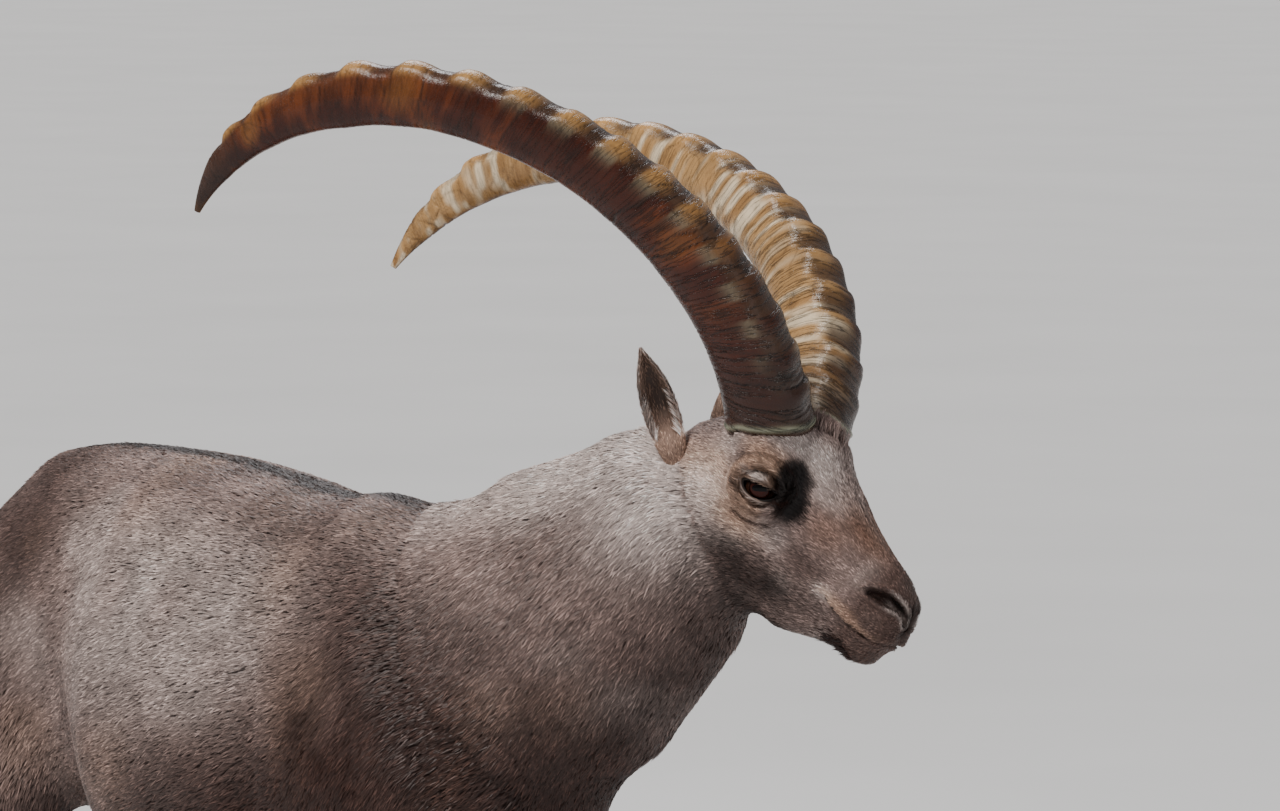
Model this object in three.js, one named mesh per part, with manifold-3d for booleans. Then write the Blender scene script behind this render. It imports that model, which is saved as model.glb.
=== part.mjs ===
// Alpine ibex, an adult male in its short summer coat, standing with its head turned to its left.
// Lengths are in millimetres. +X points forward along the body, +Y to its left and +Z up.
// The hooves stand on Z = 0, and the origin lies under the middle of the whole animal.

import * as THREE from 'three';
import { mergeVertices } from 'three/addons/utils/BufferGeometryUtils.js';
import Module from 'manifold-3d';

const wasm = await Module();
wasm.setup();

// Gap that two touching pieces keep
const GAP = 0.3;

// Head: where it is held, how it is turned, and its main sizes
const EYE_LINE = new THREE.Vector3(367, 170, 918);
const HEAD_YAW = 27.3;
const HEAD_ROLL = 8;
const HEAD_PITCH = 38;
const EYE_RADIUS = 17;
const EYE_CENTRE = new THREE.Vector3(-6, 61, -1);
const LID_THICKNESS = 3.4;
const EYE_OPENING = { width: 31, height: 17 };
const NOSE_REACH = 169;
const MOUTH_CORNER = 107;
const MOUTH_LEVEL = -45;
const MOUTH_SLIT = 2.6;
const MOUTH_DEPTH = 9;
const GAZE = new THREE.Vector3(0.34, 0.93, 0.14);

// Swellings of the face: centre on its left side, and half sizes
const ORBIT = { centre: new THREE.Vector3(-8, 49, -4), radii: new THREE.Vector3(38, 31, 32) };
const BROW = { centre: new THREE.Vector3(-5, 61, 14), radii: new THREE.Vector3(31, 26, 16) };
const LIP_PAD = { centre: new THREE.Vector3(158, 11, -31), radii: new THREE.Vector3(15, 14, 13) };
const CHIN = { centre: new THREE.Vector3(147, 0, -62), radii: new THREE.Vector3(18, 19, 13) };

// Comma of the left nostril: points of its path and the radius at each
const NOSTRIL = [
  { at: new THREE.Vector3(131, 29, -20), radius: 1.5 },
  { at: new THREE.Vector3(141, 27, -12), radius: 3.6 },
  { at: new THREE.Vector3(152, 20, -9), radius: 4.6 },
  { at: new THREE.Vector3(161, 12, -14), radius: 3.8 },
  { at: new THREE.Vector3(163, 9, -20), radius: 2 },
];

// Horns: a cubic lean backward and a quadratic spread outward along the length
const HORN_LENGTH = 759;
const HORN_BASE = { forward: -14, out: 44, up: 73 };
const HORN_LEAN = [-2, 223, -239, 171];
const HORN_SPREAD = [28, -16, -28];
const LEFT_HORN_LEAN = 2.2;
const LEFT_HORN_SPREAD = 6;
const HORN_ROOT = 30;
const HORN_EGG = 0.12;
const HORN_TIP_STEPS = [0.945, 0.985, 1];
const PEDICLE_STEPS = [-74, -56, -40, -26, -14];
const PEDICLE_SKIN = 2.4;
const HORN_DEPTHS = [
  [0, 84], [0.27, 73], [0.39, 66], [0.6, 60], [0.73, 57], [0.84, 43], [0.93, 27], [1, 6],
];
const HORN_WIDTHS = [[0, 66], [0.27, 57], [0.51, 47], [0.73, 40], [0.84, 31], [0.93, 20], [1, 5]];
const KNOB_END = 0.93;
const KNOB_PITCH = [[0, 31], [0.62, 56], [KNOB_END, 36]];
const KNOB_PROFILE = [[0, -0.5], [0.3, 0.1], [0.55, 0.5], [0.8, 0]];
const KNOB_HEIGHT = 7;
const KNOB_FADE = 0.35;

// Ears
const EAR_ROOT = new THREE.Vector3(-98, 50, -42);
const EAR_TIP = new THREE.Vector3(-166, 98, 20);
const EAR_HALF_WIDTH = 16.5;
const EAR_DEPTH = 15;
const EAR_CURL = -7;
const EAR_FACING = new THREE.Vector3(0.5, 0.8, 0.1);
const EAR_CUP = { scale: 0.8, shift: 5.4, first: 0.08 };
const EAR_ROWS = [
  { t: -0.1, wide: 0.6, deep: 0.8 },
  { t: 0.08, wide: 0.75, deep: 1 },
  { t: 0.28, wide: 0.96, deep: 1 },
  { t: 0.5, wide: 1, deep: 0.8 },
  { t: 0.72, wide: 0.8, deep: 0.55 },
  { t: 0.9, wide: 0.42, deep: 0.3 },
];

// Feet: the hoof is two claws that share one coronet
const CORONET_HEIGHT = 46;
const HOOF = { topFront: 24, topBack: -23, soleFront: 54, soleBack: -21, half: 14, apart: 16.5 };
const FORE_FOOT = { x: 52, y: 80 };
const HIND_FOOT = { x: -711, y: 86 };
const STANCE = { foreLeft: 24, foreRight: -22, hindLeft: -30, hindRight: 26 };
const STANCE_TOP = 520;

const LEFT = new THREE.Vector3(0, 1, 0);
const rad = THREE.MathUtils.degToRad;

// The head's own frame: u runs to the nose, v to its left and w up from the brow
const headFrame = new THREE.Group();
headFrame.position.copy(EYE_LINE);
headFrame.rotation.set(-rad(HEAD_ROLL), 0, rad(HEAD_YAW), 'ZYX');
const skullFrame = new THREE.Group();
skullFrame.rotation.y = rad(HEAD_PITCH);
headFrame.add(skullFrame);
headFrame.updateMatrixWorld(true);
const skullToBody = skullFrame.matrixWorld.clone();
const bodyToSkull = skullToBody.clone().invert();
const levelToSkull = new THREE.Matrix4().makeRotationY(-rad(HEAD_PITCH));

function vec(x, y, z) {
  return new THREE.Vector3(x, y, z);
}

// Point given for the left side, taken to the side of the sign
function onSide(point, sign) {
  return vec(point.x, sign * point.y, point.z);
}

// Straight-line value at s of a row of [s, value] pairs
function along(pairs, s) {
  const next = Math.max(1, pairs.findIndex(([at]) => at >= s));
  const [s0, v0] = pairs[next - 1];
  const [s1, v1] = pairs[next];
  return v0 + ((v1 - v0) * (s - s0)) / (s1 - s0);
}

// Cross-section between a top and a bottom point; egg above 0 makes the top half the wider one
function section(top, bottom, half, egg = 0, side = LEFT) {
  return { top, bottom, half, egg, side };
}

// Ring of points: cosine between bottom and top, sine out to both sides
function ring({ top, bottom, half, egg, side }, sides, grow) {
  const centre = top.clone().add(bottom).multiplyScalar(0.5);
  const up = top.clone().sub(centre);
  up.setLength(up.length() + grow);
  const points = [];
  for (let k = 0; k < sides; k += 1) {
    const angle = (2 * Math.PI * k) / sides;
    const reach = (half + grow) * Math.sin(angle) * (1 + egg * Math.cos(angle));
    points.push(centre.clone().addScaledVector(up, Math.cos(angle)).addScaledVector(side, reach));
  }
  return points;
}

function middle(points) {
  const sum = points.reduce((total, point) => total.add(point), vec(0, 0, 0));
  return sum.divideScalar(points.length);
}

// Rings that close an end as a quarter ellipse, from the end ring outwards
function dome(points, from, bulge, levels) {
  const centre = middle(points);
  const outward = centre.clone().sub(from).normalize();
  const loops = [];
  for (let level = 1; level < levels; level += 1) {
    const angle = (Math.PI / 2) * (level / levels);
    const shifted = centre.clone().addScaledVector(outward, bulge * Math.sin(angle));
    loops.push(points.map((p) => p.clone().sub(centre).multiplyScalar(Math.cos(angle)).add(shifted)));
  }
  return { loops, pole: centre.addScaledVector(outward, bulge) };
}

function signedVolume(positions, index) {
  let total = 0;
  for (let i = 0; i < index.length; i += 3) {
    const [a, b, c] = [index[i], index[i + 1], index[i + 2]].map((k) => positions[k]);
    total += a.dot(b.clone().cross(c)) / 6;
  }
  return total;
}

// Closed solid from a row of rings and a pole at each end
function skinned(loops, startPole, endPole, matrix) {
  const sides = loops[0].length;
  const positions = [startPole, ...loops.flat(), endPole].map((p) => p.clone());
  if (matrix) {
    positions.forEach((p) => p.applyMatrix4(matrix));
  }
  const at = (loop, k) => 1 + loop * sides + (k % sides);
  const last = positions.length - 1;
  const index = [];
  for (let k = 0; k < sides; k += 1) {
    index.push(0, at(0, k + 1), at(0, k));
    index.push(last, at(loops.length - 1, k), at(loops.length - 1, k + 1));
    for (let loop = 0; loop < loops.length - 1; loop += 1) {
      index.push(at(loop, k), at(loop, k + 1), at(loop + 1, k + 1));
      index.push(at(loop, k), at(loop + 1, k + 1), at(loop + 1, k));
    }
  }
  if (signedVolume(positions, index) < 0) {
    index.reverse();
  }
  const vertProperties = new Float32Array(positions.flatMap((p) => [p.x, p.y, p.z]));
  return new wasm.Manifold(new wasm.Mesh({ numProp: 3, vertProperties, triVerts: new Uint32Array(index) }));
}

// Smooth body through a row of sections, with flat or domed ends
function loft(sections, { sides = 16, steps = 2, grow = 0, start = 0, end = 0, matrix = null } = {}) {
  const curveOf = (pick) => new THREE.CatmullRomCurve3(sections.map(pick));
  const tops = curveOf((s) => s.top);
  const bottoms = curveOf((s) => s.bottom);
  const sizes = curveOf((s) => vec(s.half, s.egg * 100, 0));
  const lateral = curveOf((s) => s.side);
  const count = steps * (sections.length - 1);
  const loops = [];
  for (let i = 0; i <= count; i += 1) {
    const t = i / count;
    const size = sizes.getPoint(t);
    const side = lateral.getPoint(t).normalize();
    const station = section(tops.getPoint(t), bottoms.getPoint(t), size.x, size.y / 100, side);
    loops.push(ring(station, sides, grow));
  }
  const first = dome(loops[0], middle(loops[1]), start + grow, start > 0 ? 4 : 1);
  const final = dome(loops[count], middle(loops[count - 1]), end + grow, end > 0 ? 4 : 1);
  return skinned([...first.loops.reverse(), ...loops, ...final.loops], first.pole, final.pole, matrix);
}

function fromGeometry(geometry) {
  geometry.deleteAttribute('normal');
  geometry.deleteAttribute('uv');
  const merged = mergeVertices(geometry, 1e-3);
  const vertProperties = new Float32Array(merged.attributes.position.array);
  const triVerts = new Uint32Array(merged.index.array);
  return new wasm.Manifold(new wasm.Mesh({ numProp: 3, vertProperties, triVerts }));
}

function ellipsoid(centre, radii, { sides = 12, rings = 7 } = {}) {
  const geometry = new THREE.SphereGeometry(1, sides, rings);
  geometry.scale(radii.x, radii.y, radii.z);
  geometry.translate(centre.x, centre.y, centre.z);
  return fromGeometry(geometry);
}

function union(solids) {
  return wasm.Manifold.union(solids);
}

function largest(solid) {
  const bodies = solid.decompose();
  return bodies.reduce((best, body) => (body.volume() > best.volume() ? body : best));
}

function toMesh(name, solid, material) {
  const { numProp, vertProperties, triVerts } = largest(solid).getMesh();
  const geometry = new THREE.BufferGeometry();
  geometry.setAttribute('position', new THREE.BufferAttribute(new Float32Array(vertProperties), numProp));
  geometry.setIndex(new THREE.BufferAttribute(new Uint32Array(triVerts), 1));
  geometry.computeVertexNormals();
  const mesh = new THREE.Mesh(geometry, material);
  mesh.name = name;
  return mesh;
}

// Flat tapered lock of hair: a bent path, widest near its root and closed to a point
function lock(root, direction, outward, { length, width, bend }) {
  const heading = direction.clone().normalize();
  const across = heading.clone().cross(outward).normalize();
  const normal = across.clone().cross(heading).normalize();
  const shape = [[-0.25, 0.8], [0.35, 1], [1, 0.14]];
  const sections = shape.map(([t, taper]) => {
    const sag = bend * length * Math.max(0, t) ** 2;
    const centre = root.clone().addScaledVector(heading, length * t).addScaledVector(normal, sag);
    const thick = normal.clone().multiplyScalar(width * 0.22 * taper + 0.4);
    return section(centre.clone().add(thick), centre.clone().sub(thick), (width / 2) * taper, 0, across);
  });
  return loft(sections, { sides: 6, steps: 1 });
}

// Trunk: chest, ribs, paunch, flank, loin and rump
function torso(grow = 0) {
  const row = (x, top, bottom, half, egg) => section(vec(x, 0, top), vec(x, 0, bottom), half, egg);
  const sections = [
    row(196, 640, 530, 52, 0),
    row(170, 745, 498, 88, 0),
    row(90, 872, 472, 122, -0.06),
    row(0, 902, 462, 140, -0.12),
    row(-125, 888, 455, 163, -0.14),
    row(-246, 899, 448, 178, -0.12),
    row(-335, 906, 451, 181, -0.08),
    row(-395, 908, 464, 165, -0.02),
    row(-455, 908, 488, 141, 0.06),
    row(-520, 907, 520, 126, 0.1),
    row(-580, 903, 548, 120, 0.08),
    row(-660, 889, 570, 112, 0.04),
    row(-735, 862, 610, 88, 0),
    row(-778, 815, 670, 52, 0),
  ];
  return loft(sections, { sides: 18, steps: 2, grow, start: 14, end: 14 });
}

// Neck: from inside the chest to the flat joint behind the jaw
const headSide = LEFT.clone().transformDirection(skullToBody);
const NECK_STATIONS = [
  [vec(-40, 0, 892), vec(140, 8, 500), 112, 0],
  [vec(60, 15, 904), vec(182, 32, 590), 112, 0.25],
  [vec(125, 42, 926), vec(225, 72, 645), 95, 0.5],
  [vec(180, 70, 947), vec(262, 98, 700), 81, 0.75],
  [vec(230, 92, 974), vec(302, 122, 757), 69, 0.9],
  [vec(277, 113, 989), vec(327, 138, 800), 57, 1],
];

function neck(grow = 0, matrix = null) {
  const sections = NECK_STATIONS.map(([crest, throat, half, turn]) => {
    const side = LEFT.clone().lerp(headSide, turn).normalize();
    return section(crest, throat, half, -0.08, side);
  });
  return loft(sections, { sides: 16, steps: 3, grow, matrix });
}

// Skull and face without eyes, ears and horns
function faceLoft(grow = 0) {
  const row = (topU, topW, bottomU, bottomW, half, egg) =>
    section(vec(topU, 0, topW), vec(bottomU, 0, bottomW), half, egg);
  const sections = [
    row(-118, 0, -104, -92, 44, 0),
    row(-94, 20, -78, -108, 55, 0.05),
    row(-64, 40, -48, -117, 58, 0.12),
    row(-34, 56, -20, -121, 59, 0.2),
    row(-10, 62, 6, -121, 58, 0.28),
    row(16, 52, 28, -119, 54, 0.32),
    row(44, 44, 52, -112, 48, 0.32),
    row(73, 33, 78, -101, 42, 0.28),
    row(100, 26, 104, -88, 36, 0.2),
    row(126, 20, 126, -78, 33, 0.12),
    row(147, 14, 145, -73, 31, 0.06),
    row(163, 4, 159, -66, 27, 0),
    row(NOSE_REACH, -11, NOSE_REACH - 3, -54, 18, 0),
  ];
  return loft(sections, { sides: 20, steps: 2, grow, start: 10, end: 4 });
}

// Direction that the pupil faces, on the side given by sign
function gaze(sign) {
  return onSide(GAZE, sign).normalize();
}

function eyeCentre(sign) {
  return onSide(EYE_CENTRE, sign);
}

function eyeball(sign, grow = 0) {
  const radius = EYE_RADIUS + grow;
  return ellipsoid(eyeCentre(sign), vec(radius, radius, radius), { sides: 14, rings: 10 });
}

// Almond between the lids, run outwards from the middle of the eye
function eyeOpening(sign) {
  const { width, height } = EYE_OPENING;
  const almond = new THREE.Shape();
  almond.moveTo(-width / 2, -2);
  almond.quadraticCurveTo(0, height * 0.95, width / 2, 2);
  almond.quadraticCurveTo(0, -height * 0.75, -width / 2, -2);
  const geometry = new THREE.ExtrudeGeometry(almond, { depth: 50, bevelEnabled: false, curveSegments: 6 });
  const outward = gaze(sign);
  const acrossEye = vec(0, 0, 1).cross(outward).normalize().multiplyScalar(sign);
  const upEye = outward.clone().cross(acrossEye).multiplyScalar(sign);
  const basis = new THREE.Matrix4().makeBasis(acrossEye.clone().multiplyScalar(sign), upEye, outward);
  geometry.applyMatrix4(basis);
  const centre = eyeCentre(sign);
  geometry.translate(centre.x, centre.y, centre.z);
  return fromGeometry(geometry);
}

// Orbit, brow and the two lids on one side of the face
function orbit(sign) {
  const lid = EYE_RADIUS + LID_THICKNESS;
  return union([
    ellipsoid(onSide(ORBIT.centre, sign), ORBIT.radii),
    ellipsoid(onSide(BROW.centre, sign), BROW.radii),
    ellipsoid(eyeCentre(sign), vec(lid, lid, lid), { sides: 14, rings: 10 }),
  ]);
}

// Padded lips, with a cleft between the two upper halves, and the chin
function lips() {
  const pads = [1, -1].map((sign) => ellipsoid(onSide(LIP_PAD.centre, sign), LIP_PAD.radii));
  return union([...pads, ellipsoid(CHIN.centre, CHIN.radii)]);
}

function nostril(sign) {
  const sections = NOSTRIL.map(({ at, radius }) => {
    const centre = onSide(at, sign);
    const up = vec(0, 0, radius);
    return section(centre.clone().add(up), centre.clone().sub(up), radius * 1.7, 0);
  });
  return loft(sections, { sides: 6, steps: 1 });
}

// Slit between the lips that follows the muzzle from corner to corner
function mouthLine() {
  const reach = NOSE_REACH + 12 - MOUTH_CORNER;
  const slab = new THREE.BoxGeometry(reach, 90, MOUTH_SLIT);
  slab.translate(MOUTH_CORNER + reach / 2, 0, MOUTH_LEVEL);
  return fromGeometry(slab).subtract(faceLoft(-MOUTH_DEPTH));
}

// Short beard: flat locks that overlap in rows under the chin and trail backwards
function beard() {
  const locks = [];
  const rows = [[158, 3, 17], [148, 4, 20], [137, 4, 22], [126, 3, 20]];
  rows.forEach(([u, count, length], rowIndex) => {
    for (let i = 0; i < count; i += 1) {
      const spread = i / (count - 1) - 0.5;
      const root = vec(u - Math.abs(spread) * 6, spread * 24, -71 - rowIndex + Math.abs(spread) * 9);
      const direction = vec(-0.7, spread * 0.5, -0.62);
      const size = length - 5 * Math.abs(spread) + ((i * 5 + rowIndex * 3) % 4);
      locks.push(lock(root, direction, vec(0, 0, -1), { length: size, width: 13, bend: -0.14 }));
    }
  });
  return union(locks);
}

// Tuft of hair that stands between the horns
function forelock() {
  const locks = [];
  for (let i = 0; i < 6; i += 1) {
    const across = (i % 3) - 1;
    const row = Math.floor(i / 3);
    const root = vec(-4 - row * 16, across * 9, 58 + row * 3);
    const direction = vec(0.1 - row * 0.5, across * 0.25, 1);
    const length = 18 - Math.abs(across) * 4;
    locks.push(lock(root, direction, vec(1, 0, 0), { length, width: 11, bend: -0.2 }));
  }
  return union(locks);
}

function polynomial(factors, s) {
  return factors.reduce((total, factor, power) => total + factor * s ** power, 0);
}

// Heading of the horn at s, and the two axes of its section, in the level head frame
function hornAxes(sign, s) {
  const at = Math.max(0, s);
  const [moreLean, moreSpread] = sign > 0 ? [LEFT_HORN_LEAN, LEFT_HORN_SPREAD * at ** 2] : [0, 0];
  const lean = rad(polynomial(HORN_LEAN, at) + moreLean);
  const spread = rad(polynomial(HORN_SPREAD, at) + moreSpread);
  const upward = Math.cos(spread);
  const heading = vec(-Math.sin(lean) * upward, sign * Math.sin(spread), Math.cos(lean) * upward);
  const front = vec(Math.cos(lean), 0, Math.sin(lean));
  return { heading, front, side: heading.clone().cross(front).normalize() };
}

// Point on the horn's middle line: its headings added up from the base
function hornPoint(sign, s) {
  const point = vec(HORN_BASE.forward, sign * HORN_BASE.out, HORN_BASE.up);
  if (s <= 0) {
    return point.addScaledVector(hornAxes(sign, 0).heading, s * HORN_LENGTH);
  }
  const pieces = Math.ceil(s * 60);
  const piece = s / pieces;
  for (let i = 0; i < pieces; i += 1) {
    point.addScaledVector(hornAxes(sign, (i + 0.5) * piece).heading, piece * HORN_LENGTH);
  }
  return point;
}

function hornSection(sign, s, knob) {
  const { front, side } = hornAxes(sign, s);
  const centre = hornPoint(sign, s);
  const depth = along(HORN_DEPTHS, Math.max(0, s)) / 2;
  const top = centre.clone().addScaledVector(front, depth + knob);
  const bottom = centre.clone().addScaledVector(front, -depth);
  const half = along(HORN_WIDTHS, Math.max(0, s)) / 2 + knob / 4;
  return section(top, bottom, half, HORN_EGG, side);
}

// Ends of the knobs along the horn: each is a pitch beyond the one before, widest on the upper bend
function knobEnds() {
  const ends = [0];
  let next = along(KNOB_PITCH, 0) / HORN_LENGTH;
  while (next <= KNOB_END) {
    ends.push(next);
    next += along(KNOB_PITCH, next) / HORN_LENGTH;
  }
  return ends;
}

// Horn with a row of knobs across its front and a smooth tip
function horn(sign, grow = 0) {
  const sections = [hornSection(sign, -HORN_ROOT / HORN_LENGTH, -KNOB_HEIGHT / 2)];
  const ends = knobEnds();
  ends.slice(1).forEach((end, i) => {
    KNOB_PROFILE.forEach(([share, lift]) => {
      const s = THREE.MathUtils.lerp(ends[i], end, share);
      sections.push(hornSection(sign, s, lift * KNOB_HEIGHT * (1 - KNOB_FADE * s)));
    });
  });
  HORN_TIP_STEPS.forEach((s) => sections.push(hornSection(sign, s, 0)));
  return loft(sections, { sides: 12, steps: 1, grow, end: 2, matrix: levelToSkull });
}

// Bony stump under the horn, with the rim of skin round its base
function pedicle(sign) {
  const sections = PEDICLE_STEPS.map((offset) => hornSection(sign, offset / HORN_LENGTH, 0));
  return loft(sections, { sides: 12, steps: 1, grow: PEDICLE_SKIN, matrix: levelToSkull });
}

// Ear from root to tip, or with a smaller scale and a shift towards its opening, the hollow in it
function earLoft(sign, { scale, shift, first }, grow) {
  const root = onSide(EAR_ROOT, sign);
  const axis = onSide(EAR_TIP, sign).sub(root);
  const heading = axis.clone().normalize();
  const facing = onSide(EAR_FACING, sign);
  facing.addScaledVector(heading, -facing.dot(heading)).normalize();
  const across = heading.clone().cross(facing).normalize();
  const sections = EAR_ROWS.filter(({ t }) => t >= first).map(({ t, wide, deep }) => {
    const curl = EAR_CURL * Math.sin(Math.PI * Math.max(0, t));
    const centre = root.clone().addScaledVector(axis, t).addScaledVector(facing, curl + shift * deep);
    const half = facing.clone().multiplyScalar((EAR_DEPTH / 2) * deep * scale);
    const width = EAR_HALF_WIDTH * wide * scale;
    return section(centre.clone().add(half), centre.clone().sub(half), width, 0, across);
  });
  return loft(sections, { sides: 10, steps: 2, grow, end: 11 * scale });
}

const WHOLE_EAR = { scale: 1, shift: 0, first: -1 };

function ear(sign) {
  const hollow = earLoft(sign, EAR_CUP, 0);
  return earLoft(sign, WHOLE_EAR, 0).subtract(union([hollow, neck(GAP, bodyToSkull)]));
}

function head() {
  const solids = [faceLoft(), lips(), beard(), forelock()];
  const cuts = [mouthLine(), neck(GAP, bodyToSkull)];
  [1, -1].forEach((sign) => {
    solids.push(orbit(sign), pedicle(sign));
    cuts.push(eyeball(sign, GAP), eyeOpening(sign), nostril(sign));
    cuts.push(horn(sign, GAP), earLoft(sign, WHOLE_EAR, GAP));
  });
  return union(solids).subtract(union(cuts));
}

// Short tail, held down against the rump, with flat locks at its end
function tail() {
  const row = (outerX, outerZ, innerX, innerZ, half) =>
    section(vec(outerX, 0, outerZ), vec(innerX, 0, innerZ), half);
  const sections = [
    row(-735, 860, -735, 800, 24),
    row(-796, 851, -778, 803, 24),
    row(-836, 822, -806, 792, 25),
    row(-856, 778, -826, 768, 24),
    row(-861, 738, -838, 734, 17),
  ];
  const solids = [loft(sections, { sides: 10, steps: 2, end: 9 })];
  for (let i = 0; i < 5; i += 1) {
    const across = i / 2 - 1;
    const stray = ((i * 3) % 5) - 1.7;
    const root = vec(-849 + 0.6 * stray, across * 10, 764 + stray);
    const direction = vec(-0.06, across * 0.2, -1);
    const length = 52 - 10 * Math.abs(across);
    solids.push(lock(root, direction, vec(-1, 0, 0), { length, width: 16, bend: 0.04 * stray }));
  }
  return union(solids).subtract(torso(GAP));
}

// Legs: horizontal sections from the shoulder or hip down to the coronet
const FORE_SECTIONS = [
  [790, 50, -50, 88, 26],
  [720, 108, -66, 98, 42],
  [645, 150, -76, 101, 47],
  [565, 136, -66, 99, 48],
  [500, 100, -42, 95, 43],
  [440, 82, -6, 91, 34],
  [365, 72, 10, 86, 29],
  [305, 67, 16, 83, 26],
  [262, 71, 15, 82, 28],
  [226, 64, 19, 81, 23],
  [175, 58, 19, 80, 19],
  [122, 58, 18, 80, 19],
  [92, 64, 11, 80, 24],
  [69, 69, 20, 80, 24],
  [CORONET_HEIGHT + GAP, FORE_FOOT.x + HOOF.topFront + 3, FORE_FOOT.x + HOOF.topBack - 3, FORE_FOOT.y, 28],
];
const HIND_SECTIONS = [
  [818, -600, -716, 66, 34],
  [745, -562, -776, 88, 48],
  [665, -534, -800, 96, 54],
  [595, -515, -801, 101, 55],
  [545, -513, -790, 104, 51],
  [492, -542, -776, 102, 44],
  [430, -596, -770, 97, 36],
  [370, -650, -779, 92, 30],
  [326, -690, -797, 89, 27],
  [294, -708, -793, 88, 27],
  [256, -717, -774, 87, 23],
  [208, -719, -764, 86, 20],
  [140, -715, -759, 86, 19],
  [93, -704, -764, 86, 24],
  [69, -696, -748, 86, 24],
  [CORONET_HEIGHT + GAP, HIND_FOOT.x + HOOF.topFront + 3, HIND_FOOT.x + HOOF.topBack - 3, HIND_FOOT.y, 28],
];

// How far a step carries the leg forward at height z
function stepAt(z, step) {
  return step * THREE.MathUtils.smoothstep(STANCE_TOP - z, 0, STANCE_TOP - 100);
}

function leg(rows, sign, step, grow = 0) {
  const sections = rows.map(([z, front, back, out, half]) => {
    const shift = stepAt(z, step);
    return section(vec(front + shift, sign * out, z), vec(back + shift, sign * out, z), half, 0);
  });
  return loft(sections, { sides: 12, steps: 2, grow, start: 30 });
}

// Both forelegs, whose shoulders lie over the base of the neck
function shoulders(grow) {
  return union([
    leg(FORE_SECTIONS, 1, STANCE.foreLeft, grow),
    leg(FORE_SECTIONS, -1, STANCE.foreRight, grow),
  ]);
}

// One claw of a hoof in the foot's own frame: flat sole, sloping front wall, flat coronet
function claw(side) {
  const rows = [[0, 0, 0.86], [0.16, 0.02, 0.98], [0.5, 0.42, 1.04], [0.8, 0.78, 0.98], [1, 1, 0.88]];
  const sections = rows.map(([t, slope, wide]) => {
    const front = THREE.MathUtils.lerp(HOOF.soleFront, HOOF.topFront, slope);
    const back = THREE.MathUtils.lerp(HOOF.soleBack, HOOF.topBack, t) - 3 * Math.sin(Math.PI * t);
    const half = HOOF.half * wide;
    const out = side * (HOOF.apart - (front > 40 ? 1.5 : 0));
    return section(vec(front, out, t * CORONET_HEIGHT), vec(back, out, t * CORONET_HEIGHT), half, -0.12);
  });
  return loft(sections, { sides: 12, steps: 1 });
}

// Small hanging claw behind the fetlock, in the foot's own frame
function dewclaw(side, grow = 0) {
  const rows = [[99, -34, 6], [86, -44, 9], [71, -51, 8.5], [58, -54, 3.5]];
  const sections = rows.map(([z, x, half]) =>
    section(vec(x + half, side * 13, z), vec(x - half, side * 13, z), half * 0.9, 0));
  return loft(sections, { sides: 6, steps: 1, grow });
}

// Materials
const coat = (colour) => new THREE.MeshStandardMaterial({ color: colour, roughness: 0.85, metalness: 0 });
const materials = {
  bodyCoat: coat(0x7d6a58),
  darkCoat: coat(0x4a3a2f),
  faceCoat: coat(0x9a7b5c),
  horn: new THREE.MeshStandardMaterial({ color: 0x6e5a40, roughness: 0.5, metalness: 0 }),
  eye: new THREE.MeshStandardMaterial({ color: 0x3a2412, roughness: 0.08, metalness: 0 }),
  hoof: new THREE.MeshStandardMaterial({ color: 0x2b2622, roughness: 0.55, metalness: 0 }),
};

// One leg with its claws and dewclaws, and the socket that each dewclaw sits in
function buildLeg(body, label, rows, foot, sign, step) {
  const shift = stepAt(0, step);
  const footFrame = new THREE.Group();
  footFrame.position.set(foot.x + shift, sign * foot.y, 0);
  const toBody = new THREE.Matrix4().makeTranslation(footFrame.position);
  const sockets = [];
  [['outer', sign], ['inner', -sign]].forEach(([place, side]) => {
    footFrame.add(toMesh(`${label}_claw_${place}`, claw(side), materials.hoof));
    footFrame.add(toMesh(`${label}_dewclaw_${place}`, dewclaw(side), materials.hoof));
    const socket = toMesh('socket', dewclaw(side, GAP), materials.hoof).geometry;
    socket.applyMatrix4(toBody);
    sockets.push(fromGeometry(socket));
  });
  const solid = leg(rows, sign, step).subtract(union([torso(GAP), ...sockets]));
  body.add(toMesh(`${label}_leg`, solid, materials.darkCoat), footFrame);
}

const ibex = new THREE.Group();
const body = new THREE.Group();
ibex.add(body);
body.add(toMesh('torso', torso(), materials.bodyCoat));
body.add(toMesh('neck', neck().subtract(union([torso(GAP), shoulders(GAP)])), materials.bodyCoat));
body.add(toMesh('tail', tail(), materials.darkCoat));
body.add(headFrame);
skullFrame.add(toMesh('head', head(), materials.faceCoat));
[['left', 1], ['right', -1]].forEach(([label, sign]) => {
  skullFrame.add(toMesh(`ear_${label}`, ear(sign), materials.faceCoat));
  skullFrame.add(toMesh(`eye_${label}`, eyeball(sign), materials.eye));
  skullFrame.add(toMesh(`horn_${label}`, horn(sign), materials.horn));
});
buildLeg(body, 'fore_left', FORE_SECTIONS, FORE_FOOT, 1, STANCE.foreLeft);
buildLeg(body, 'fore_right', FORE_SECTIONS, FORE_FOOT, -1, STANCE.foreRight);
buildLeg(body, 'hind_left', HIND_SECTIONS, HIND_FOOT, 1, STANCE.hindLeft);
buildLeg(body, 'hind_right', HIND_SECTIONS, HIND_FOOT, -1, STANCE.hindRight);

// Bring the origin under the middle of the animal
ibex.updateMatrixWorld(true);
const middleOfBox = new THREE.Box3().setFromObject(ibex, true).getCenter(vec(0, 0, 0));
body.position.set(-middleOfBox.x, -middleOfBox.y, 0);
ibex.updateMatrixWorld(true);

export default ibex;
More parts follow.
